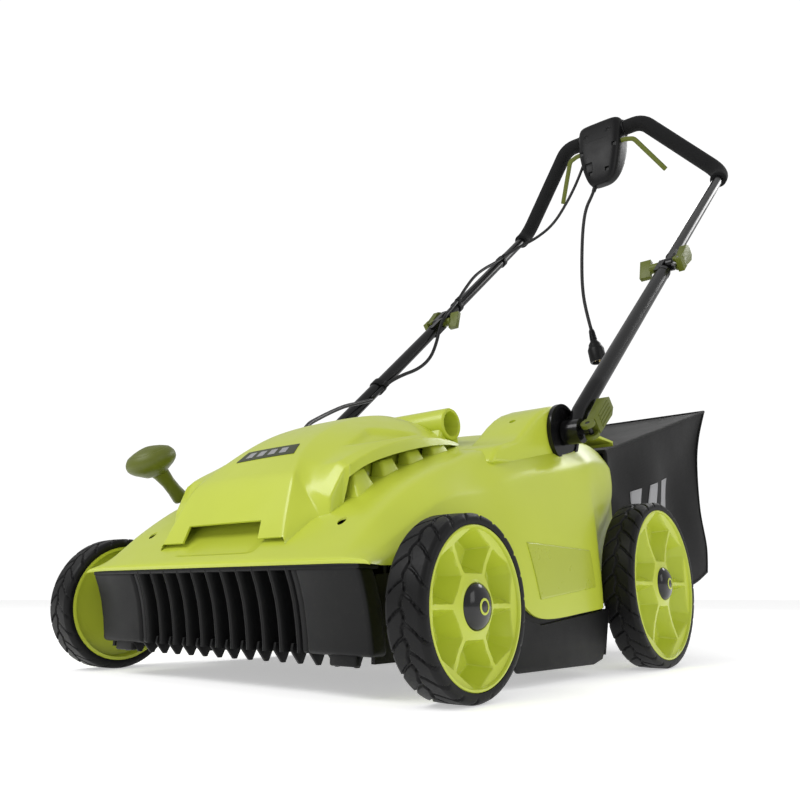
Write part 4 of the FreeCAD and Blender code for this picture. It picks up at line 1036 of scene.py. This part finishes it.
rounded_copy("side_skirts", "black_moulding", "machine", 2.6)
rounded_copy("discharge_flap", "green_moulding", "flap", 1.0)
rounded_copy("upper_cable_clips", "black_moulding", "upper_handle", 0.7)
rounded_copy("lower_cable_clip", "black_moulding", "lower_handle", 0.7)
rounded_copy("lock_button", "olive_moulding", "lock", 1.2)
for side in ("left", "right"):
    rounded_copy(f"upper_clamp_lever_{side}", "olive_moulding", f"upper_lever_{side}", 1.4)
    rounded_copy(f"lower_clamp_lever_{side}", "olive_moulding", f"lower_lever_{side}", 1.6)
    rounded_copy(f"wing_nut_{side}", "olive_moulding", f"wing_nut_{side}_body", 1.6)

# %% [markdown]
# The face of each lower lever has raised lengthwise ribs for the thumb, and the skirt is backed
# by a flat black plate behind the rim of the deck.  The ribs are a row, so the node tree sets them.

# %% Lever ribs and skirt backing
LEG = Vector((0, 0.745, 0.667))
ACROSS = Vector((0, -0.667, 0.745))


def lever_rib(side, start, end, half):
    """One rib along the tube on a lever's outer face; distances in mm from the pivot pin."""
    points = []
    for distance in (start, end):
        points += [LEG * (distance / 1000) + ACROSS * (k * half / 1000)
                   + Vector((side * proud / 1000, 0, 0))
                   for k, proud in ((-1, 0), (1, 0), (0.55, 0.9), (-0.55, 0.9))]
    return build("rib", points, ring_faces(2, 4))


for side, word in ((1, "left"), (-1, "right")):
    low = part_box(f"lower_clamp_lever_{word}")
    face = (max(abs(low[0].x), abs(low[1].x)) - 0.0006) * side
    first = at(0, 296, 278) + Vector((face, 0, 0)) - ACROSS * 0.0075
    ridges = row_of("ridges", lever_rib(side, 18, 54, 1.5), 4, first, ACROSS * 0.005,
                    "olive_moulding")
    piece(f"lever_ribs_{word}", sharp_shading(ridges, 40), "olive_moulding", f"lower_lever_{word}")
    backing = block("backing", side * 237.5, side * 241.5, 114, 312, 24, 98)
    piece(f"skirt_backing_{word}", worked(backing, rounded(1.5, 3)), "black_moulding", "machine")

# %% [markdown]
# The humps that carry the handle brackets grow out of the deck.  Their feet reach into it, so no
# gap shows, and their edges have a wide soft radius.

# %% Pivot covers
HUMP = [(138, 222), (150, 240), (164, 246.5), (191, 254.5), (209, 268), (227, 283), (242, 293.5),
        (258, 302), (282, 310.5), (304, 315), (320, 311), (331, 299), (336, 282), (338, 236)]
for side, word in ((1, "left"), (-1, "right")):
    hump = worked(prism("hump", HUMP, side * 142, side * 208), rounded(6.5, 5, 45))
    dimple = lathe_along("dimple", [(0, 0), (0, 4.2), (16, 4.2), (16, 0)], at(side * 178, 234, 284),
                         at(side * 178, 226, 298), 24)
    piece(f"pivot_hump_{word}", sharp_shading(cut(hump, dimple), 50), "green_moulding", "machine",
          *(("pivot_covers",) if side > 0 else ()))

# %% [markdown]
# A label of dark film lies on the hood's front panel, and a slightly raised field on each side of
# the deck.  Both follow the surface below: each point of a flat grid is dropped onto it.

# %% Label and side fields
def patch(function, first, second):
    """A grid over two shares, as (points, faces)."""
    points = [function(a, b) for a in first for b in second]
    n = len(second)
    faces = [(i * n + j, i * n + j + 1, (i + 1) * n + j + 1, (i + 1) * n + j)
             for i in range(len(first) - 1) for j in range(n - 1)]
    return points, faces


def dropped(name, corners, mesh, way, lift, counts=(24, 12), thickness=0.4):
    """A grid between four corners, moved along a direction onto a mesh and raised a little."""
    ground = bmesh.new()
    ground.from_mesh(mesh)
    tree = BVHTree.FromBMesh(ground, epsilon=0.00002)
    way = Vector(way).normalized()

    def place(a, b):
        low, high = corners[0].lerp(corners[1], a), corners[3].lerp(corners[2], a)
        start = low.lerp(high, b)
        hit = tree.ray_cast(start - way * 0.06, way)[0] or start
        return hit - way * (lift / 1000)
    points, faces = patch(place, *(np.linspace(0, 1, count).tolist() for count in counts))
    ground.free()
    sheet = bpy.data.meshes.new(name)
    sheet.from_pydata([tuple(p) for p in points], [], faces)
    used = bmesh.new()
    used.from_mesh(sheet)
    bmesh.ops.recalc_face_normals(used, faces=used.faces)
    middle = sum((f.normal for f in used.faces), Vector())
    if middle.dot(way) > 0:
        bmesh.ops.reverse_faces(used, faces=used.faces)
    used.to_mesh(sheet)
    used.free()
    return worked(sheet, ("SOLIDIFY", {"thickness": thickness / 1000, "offset": -1.0}))


front = (0, 0.75, -0.66)
label_corners = [at(-39, -2, 230), at(51, 0, 232), at(42, 15.6, 247), at(-39.5, 14, 246)]
piece("hood_label", dropped("label", label_corners, hood.data, front, 0.5), "label_film", "machine")
near_low, far_low, far_high, near_high = label_corners
base, base_end = near_low.lerp(near_high, 0.25), far_low.lerp(far_high, 0.25)
crown, crown_end = near_low.lerp(near_high, 0.75), far_low.lerp(far_high, 0.75)
stripes = []
for i in range(4):
    a, b = 0.12 + 0.2 * i, 0.24 + 0.2 * i
    stripe = [base.lerp(base_end, a), base.lerp(base_end, b), crown.lerp(crown_end, b),
              crown.lerp(crown_end, a)]
    stripes.append(dropped("stripe", stripe, hood.data, front, 0.8, (6, 4), 0.25))
piece("label_stripes", joined("stripes", stripes), "pale_moulding", "machine")
# Each side field is shadow_green, the green darkened as painted shade for the recessed panel it
# stands for.
for side, word in ((1, "left"), (-1, "right")):
    field = [at(side * 245, y, z) for y, z in ((165, 82), (289, 95), (284, 136), (150, 139))]
    raised = dropped("field", field, deck.data, (-side, 0, 0), 1.4, (60, 24), 3.0)
    piece(f"side_field_{word}", sharp_shading(worked(raised, rounded(1.2, 3, 50)), 60),
          "shadow_green",
          "machine")

# %% [markdown]
# Parts that keep their own mesh only take a finish.

# %% Finishes for the parts that stay
STAYING = {
    "zinc_plate": ["cover_screws", "drive_pulley", "driven_pulley", "height_crank", "clamp_bolts",
                   "rear_axle", "reel_bearings", "reel_shaft", "bag_frame"],
    "black_moulding": ["chassis", "cooling_fan"],
    "motor_shell": ["armature", "motor_can"],
    "powder_coat": ["height_lever", "lower_handle_left", "lower_handle_right", "pivot_brackets",
                    "upper_handle_bar"],
    "spring_wire": ["spring_tines", "tine_carrier"],
    "cable_sheath": ["drive_belt"],
    "pale_moulding": ["switch_module"],
}
for finish, nodes in STAYING.items():
    for node in nodes:
        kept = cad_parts[node]
        for slot in kept.material_slots:
            slot.material = FINISHES[finish][0]
        if not kept.material_slots:
            kept.data.materials.append(FINISHES[finish][0])
print(sum(len(nodes) for nodes in STAYING.values()), "parts keep their mesh")

# %% [markdown]
# The height knob is a mushroom on a steel lever: a waisted stem under a broad, low dome with a
# soft rim and a shallow groove round its crown.

# %% Height knob
KNOB_BASE = (-226.0, 61.0, 209.0)


def up_the_stem(distance, rise=41.5, start=KNOB_BASE):
    x, y, z = start
    tilt = math.radians(rise)
    return x, y - distance * math.cos(tilt), z + distance * math.sin(tilt)


stem_profile = [(0, 0), (0, 8.8), (1, 9.8), (4, 10.2), (16, 8.8), (30, 8.6), (44, 10.4),
                (52, 12.6), (60, 0)]
stem = lathe_along("stem", stem_profile, at(*KNOB_BASE), at(*up_the_stem(60)), 48)
cap_middle = up_the_stem(66)
cap_profile = [(-19, 0), (-19, 8), (-18.4, 12.5), (-15.5, 17), (-10, 25.5), (-6, 29.6),
               (-2.4, 31.6), (1.5, 32), (5, 31.4), (8, 29.8), (11.6, 27), (12.6, 25.6),
               (12.6, 24.6), (13.4, 24), (16.2, 17.5), (18.4, 10), (19.6, 4), (20, 0)]
cap = lathe_along("cap", cap_profile, at(*cap_middle), at(*up_the_stem(20, 62, cap_middle)), 64)
piece("height_knob_moulding", sharp_shading(joined("knob", [stem, cap]), 40), "olive_moulding",
      "height_adjuster", "height_knob")

# %% [markdown]
# Foam sleeves cover the bends of the handle.  A sleeve is a round tube along straight runs and two
# bends, with rounded ends.  The start lever's two flat bars run along the same kind of line.

# %% Foam sleeves and flat bars
def bent(places, radii, step=0.006):
    """Points along straight runs joined by round bends; places in metres, radii in millimetres."""
    line = [places[0]]
    for before, corner, after, radius in zip(places, places[1:], places[2:], radii):
        a, b = (before - corner).normalized(), (after - corner).normalized()
        half = a.angle(b) / 2
        reach = radius / 1000 / math.tan(half)
        centre = corner + (a + b).normalized() * (radius / 1000 / math.sin(half))
        start, end = corner + a * reach - centre, corner + b * reach - centre
        count = max(4, int(start.angle(end) * radius / 1000 / step))
        from_way, to_way = start.normalized(), end.normalized()
        line += [centre + from_way.slerp(to_way, i / count) * start.length
                 for i in range(count + 1)]
    line.append(places[-1])
    full = []
    for p, q in zip(line, line[1:]):
        count = max(1, int((q - p).length / 0.02))
        full += [p.lerp(q, i / count) for i in range(count)]
    return full + [line[-1]]


def swept(name, line, ring, up=Vector((0, 0, 1))):
    """Carry a closed ring of (sideways, upward) points, in millimetres, along a line."""
    points = []
    side = None
    for i, here in enumerate(line):
        way = (line[min(i + 1, len(line) - 1)] - line[max(i - 1, 0)]).normalized()
        side = (way.cross(up) if side is None else side - way * side.dot(way)).normalized()
        lift = side.cross(way).normalized()
        points += [here + (side * a + lift * b) / 1000 for a, b in ring]
    return build(name, points, ring_faces(len(line), len(ring)))


for side, word in ((1, "left"), (-1, "right")):
    box_end, first_bend, second_bend, clamp = [at(side * x, y, z) for x, y, z in (
        (53, 959.5, 1089), (90.5, 959.5, 1089), (231, 1009, 935), (231, 645, 609))]
    leg_end = second_bend + (clamp - second_bend).normalized() * 0.044
    sleeve = swept("sleeve", bent([box_end, first_bend, second_bend, leg_end], [42, 42]),
                   circle(16.2, 40))
    piece(f"foam_sleeve_{word}", sharp_shading(worked(sleeve, rounded(2.2, 4, 60)), 50),
          "grip_foam",
          "upper_handle", *(("foam_grips",) if side > 0 else ()))

bail = []
for side in (1, -1):
    places = [at(side * x, y, z) for x, y, z in
              ((36, 941, 1050), (58, 941, 1050), (76, 943, 1045), (123, 990, 975))]
    ring = [(-2.4, -4.8), (2.4, -4.8), (2.9, -4.0), (2.9, 4.0), (2.4, 4.8), (-2.4, 4.8),
            (-2.9, 4.0), (-2.9, -4.0)]
    arm = swept("bail_arm", bent(places, [24, 14], 0.004), ring, up=Vector((0, -0.55, 0.83)))
    bail.append(worked(arm, rounded(1.0, 2, 50)))
rod = lathe_along("rod", [(0, 0), (0, 4.4), (72, 4.4), (72, 0)], at(-36, 941, 1050),
                  at(36, 941, 1050), 24)
piece("bail_bars", sharp_shading(joined("bail", [*bail, rod]), 40), "olive_moulding", "bail",
      "bail_lever")

# %% [markdown]
# The switch box is a drooping trapezoid of matt plastic clamped round the bar.  It is lofted from
# rounded rings, and its front carries two ringed screws, a groove and five small recesses.

# %% Switch box
BOX_RINGS = [(957, 13, 931, 947, 4), (959, 22, 928, 951, 5), (973, 33, 924, 963, 8),
             (1002, 42, 921.5, 977, 9), (1046, 50.5, 921, 987, 10), (1096, 51.5, 929, 989, 10),
             (1110, 49, 933, 987, 9), (1115, 41, 941, 981, 8)]


def box_ring(z, half, y0, y1, corner):
    loop = [(-half + corner, y0), (-half * 0.4, y0 - 0.6), (half * 0.4, y0 - 0.6),
            (half - corner, y0), (half, y0 + corner), (half, (y0 + y1) / 2), (half, y1 - corner),
            (half - corner, y1), (-half + corner, y1), (-half, y1 - corner),
            (-half, (y0 + y1) / 2), (-half, y0 + corner)]
    return [at(x, y, z) for x, y in loop]


cage = [p for ring in BOX_RINGS for p in box_ring(*ring)]
BOX_SIDES = len(cage) // len(BOX_RINGS)
casing = worked(build("casing", cage, ring_faces(len(BOX_RINGS), BOX_SIDES)), SMOOTHED)
cutters = [block("slot", x - 4.5, x + 4.5, 915, 926.5, z - 4.5, z + 4.5)
           for x, z in ((-38, 1040), (38, 1040), (-19, 986), (19, 986))]
seats = [lathe_along("seat", [(0, 0), (0, 6.6), (20, 6.6), (20, 0)], at(x, 929.5, 1080),
                     at(x, 900, 1080), 32) for x in (-26, 26)]
pocket = worked(block("pocket", -31, -13, 914, 925.2, 990, 1012), rounded(2.5, 3))
brow = block("brow", -60, 60, 915, 923.9, 1061, 1062.6)
casing = cut(casing, *cutters, *seats, pocket, brow)
screw_profile = [(0, 0), (0, 6.3), (3.2, 6.3), (4.0, 5.6), (4.0, 4.6), (3.0, 4.2), (2.0, 2.2),
                 (2.0, 0)]
screws = [lathe_along("screw", screw_profile, at(x, 930.5, 1080), at(x, 900, 1080), 32)
          for x in (-26, 26)]
collars = [lathe_along("collar", [(0, 0), (0, 17.5), (2.4, 18.4), (7.5, 18.4), (9, 17), (9, 0)],
                       at(side * 44, 959.5, 1089), at(side * 60, 959.5, 1089), 40)
           for side in (-1, 1)]
gland = lathe_along("gland", [(0, 0), (0, 8.6), (8, 8.2), (9, 6.4), (16, 6.0), (17, 5.0), (26, 4.6),
                              (27, 0)],
                    at(-12, 940, 974), at(-24, 937, 943), 32)
casing = joined("switch_casing", [casing, *screws, *collars, gland])
piece("switch_casing", sharp_shading(casing, 40), "box_moulding", "upper_handle",
      "switch_box_front", "switch_box_back")

# %% [markdown]
# ## Grass bag
# The bag is black woven cloth sewn into an open-mouthed sack over a wire frame.  It is lofted from
# the mouth to its back seam, and its panels sag between the seams where no wire holds them.

# %% Bag shape
BAG_HALF = 199.0
TOP_LINE = [(436, 276), (470, 287), (598, 326), (726, 365.5), (854, 405)]
BOTTOM_LINE = [(436, 132), (520, 105), (615, 103), (717, 102), (797, 123)]
BACK_LINE = [(797, 123), (804, 165), (788, 225), (792, 300), (812, 350), (854, 405)]


def on_line(line, share):
    """A smooth point on a line of (y, z) places."""
    places = [Vector((0, y, z)) for y, z in line]
    t = min(max(share, 0.0), 1.0) * (len(places) - 1)
    i = min(int(t), len(places) - 2)
    p0, p1 = places[max(i - 1, 0)], places[i]
    p2, p3 = places[i + 1], places[min(i + 2, len(places) - 1)]
    t -= i
    return 0.5 * (2 * p1 + (p2 - p0) * t + (2 * p0 - 5 * p1 + 4 * p2 - p3) * t * t
                  + (3 * p1 - 3 * p2 + p3 - p0) * t ** 3)


def droop(u, v):
    """How far a panel hangs inwards; nothing at its seams and at the wire frame."""
    return math.sin(math.pi * u) ** 0.9 * math.sin(math.pi * v) ** 0.8


def side_panel(u, v, side, lift=0.0):
    """u runs from the mouth to the back seam, v from the bottom seam to the top seam."""
    low, high = on_line(BOTTOM_LINE, u), on_line(TOP_LINE, u)
    here = low.lerp(high, v)
    straight_back = on_line(BOTTOM_LINE, 1).lerp(on_line(TOP_LINE, 1), v)
    here += (on_line(BACK_LINE, v) - straight_back) * u ** 2.2
    fold = math.sin(2 * math.pi * (1.35 * u - 0.75 * v) + 0.5) * 5.5 + math.sin(
        2 * math.pi * (2.9 * u + 0.9 * v) + 1.0) * 2.4
    inward = 9.0 * droop(u, v) - fold * droop(u, v) ** 0.7
    pull = math.exp(-((u - 1) ** 2 + (v - 1) ** 2) / 0.06) * 7 * math.sin(9 * (u + v))
    x = BAG_HALF - max(inward, 0) - abs(pull) * droop(u, v) + lift
    return at(side * x, here.y, here.z)


def across_panel(u, w, top):
    """The top or bottom panel; w runs from one side seam to the other, -1 to 1."""
    here = on_line(TOP_LINE if top else BOTTOM_LINE, u)
    hang = math.sin(math.pi * (w + 1) / 2) ** 0.85 * math.sin(math.pi * min(u * 1.02, 1.0)) ** 0.7
    ripple = math.sin(2 * math.pi * (1.2 * w + 1.6 * u)) * 3.0 * hang
    sag = 17.0 * hang + ripple if top else 4.0 * hang - 2.0 + 2.0 * (1 - hang)
    return at(BAG_HALF * w, here.y, here.z - sag)


def back_panel(v, w):
    here = on_line(BACK_LINE, v)
    swell = math.sin(math.pi * (w + 1) / 2) ** 0.8 * math.sin(math.pi * v) ** 0.8
    ripple = math.sin(2 * math.pi * (1.5 * w + v)) * 3.5
    return at(BAG_HALF * w, here.y + swell * (10 + ripple), here.z)


def sewn(name, patches):
    points, faces = [], []
    for some_points, some_faces in patches:
        start = len(points)
        points += some_points
        faces += [tuple(start + i for i in face) for face in some_faces]
    return build(name, points, faces, 2e-4)


def cloth_map(mesh):
    """UVs in metres on the plane that each face lies nearest to, so the weave keeps its size."""
    layer = mesh.uv_layers.new(name="cloth")
    for face in mesh.polygons:
        flat = max(range(3), key=lambda axis: abs(face.normal[axis]))
        first, second = [axis for axis in range(3) if axis != flat]
        for loop in face.loop_indices:
            place = mesh.vertices[mesh.loops[loop].vertex_index].co
            layer.data[loop].uv = (place[first], place[second])
    return mesh


along_u, up_v, over_w = (np.linspace(0, 1, 46).tolist(), np.linspace(0, 1, 24).tolist(),
                         np.linspace(-1, 1, 40).tolist())
bag_skin = sewn("bag_skin", [
    *(patch(lambda u, v, k=k: side_panel(u, v, k), along_u, up_v) for k in (1, -1)),
    *(patch(lambda u, w, top=top: across_panel(u, w, top), along_u, over_w)
      for top in (True, False)),
    patch(back_panel, up_v, over_w)])
cloth = worked(cloth_map(bag_skin), ("SOLIDIFY", {"thickness": 0.0014, "offset": -1.0}))

# %% Bag seams and pieces
def seam(function, shares, radius=2.3):
    line = [function(s) for s in shares]
    return swept("seam", line, circle(radius, 12), up=Vector((0.3, 0.2, 1)))


shares = np.linspace(0, 1, 60).tolist()
seams = [seam(lambda s, k=k: side_panel(s, 1.0, k), shares) for k in (-1, 1)]
seams += [seam(lambda s, k=k: side_panel(s, 0.0, k), shares, 1.8) for k in (-1, 1)]
seams += [seam(lambda s: back_panel(1.0, 2 * s - 1), shares)]
seams += [seam(lambda s, k=k: side_panel(1.0, s, k), shares, 1.8) for k in (-1, 1)]
binding = piece("bag_binding", sharp_shading(cloth_map(joined("binding", seams)), 60),
                "bag_binding", "bag")

hem = [side_panel(0, s, 1) for s in shares] + [across_panel(0, 1 - 2 * s, True) for s in shares]
hem += [side_panel(0, 1 - s, -1) for s in shares]
hem += [across_panel(0, 2 * s - 1, False) for s in shares]
tidy_hem = [hem[0]]
for place in hem[1:]:
    if (place - tidy_hem[-1]).length > 0.002:
        tidy_hem.append(place)
hem_tube = swept("hem", tidy_hem, circle(3.0, 12), up=Vector((0, 1, 0)))
mouth = piece("bag_mouth_hem", cloth_map(hem_tube), "bag_binding", "bag")
bars = []
for i in range(3):
    for k in (1, -1):
        def bar(a, b, start=0.30 + 0.13 * i, k=k):
            return side_panel(start + 0.075 * a + 0.05 * b, 0.34 + 0.3 * b, k, 0.7)
        bars.append(patch(bar, np.linspace(0, 1, 6).tolist(), np.linspace(0, 1, 14).tolist()))
printed = piece("bag_printed_bars", worked(sewn("bars", bars), ("SOLIDIFY", {"thickness": 0.0004})),
                "pale_moulding", "bag")
bag = piece("bag_cloth", sharp_shading(cloth, 70), "bag_weave", "bag", "grass_bag")

# %% [markdown]
# ## Stage
# A pale floor, one broad soft light high in front, a weaker one on the shaded side and a strip
# behind give long soft highlights on the glossy covers.

# %% Floor and lights
floor_finish = Finish("studio_paper", (0.92, 0.92, 0.92), 0.85, Emission_Color=(1, 1, 1, 1),
                      Emission_Strength=0.45)
paper = floor_finish.noise(30.0, 3.0)
floor_finish.feed("Base Color", floor_finish.mix(paper, (0.9, 0.9, 0.9), (0.94, 0.94, 0.94)))
floor_finish.feed("Normal", floor_finish.bump(paper, 0.05, 0.0005))
reach = 12.0
corners = [(-reach, -reach, 0), (reach, -reach, 0), (reach, reach, 0), (-reach, reach, 0)]
floor_mesh = build("floor", corners, [(0, 1, 2, 3)])
floor = bpy.data.objects.new("floor", floor_mesh)
scene.collection.objects.link(floor)
floor_mesh.materials.append(floor_finish.material)


def soft_light(name, place, target, size, power):
    lamp = bpy.data.lights.new(name, "AREA")
    lamp.shape, lamp.size, lamp.size_y = "RECTANGLE", size[0], size[1]
    lamp.energy = power
    holder = bpy.data.objects.new(name, lamp)
    scene.collection.objects.link(holder)
    holder.location = place
    holder.rotation_euler = (Vector(target) - Vector(place)).to_track_quat("-Z", "Y").to_euler()


soft_light("front_softbox", (-0.9, -2.6, 2.7), (0, 0, 0.2), (2.4, 1.6), 62)
soft_light("side_softbox", (3.0, -0.2, 1.5), (0, 0, 0.2), (1.4, 1.8), 14)
soft_light("back_strip", (0.2, 2.6, 2.2), (0, 0, 0.5), (2.6, 0.7), 26)
world = bpy.data.worlds.new("studio")
scene.world = world
world.use_nodes = True
sky = world.node_tree.nodes["Background"]
path = world.node_tree.nodes.new("ShaderNodeLightPath")
level = world.node_tree.nodes.new("ShaderNodeMapRange")
level.inputs["To Min"].default_value, level.inputs["To Max"].default_value = 0.52, 1.05
world.node_tree.links.new(path.outputs["Is Camera Ray"], level.inputs["Value"])
world.node_tree.links.new(level.outputs["Result"], sky.inputs["Strength"])
sky.inputs["Color"].default_value = (1, 1, 1, 1)
scene.view_settings.view_transform = "Standard"
print("stage ready")
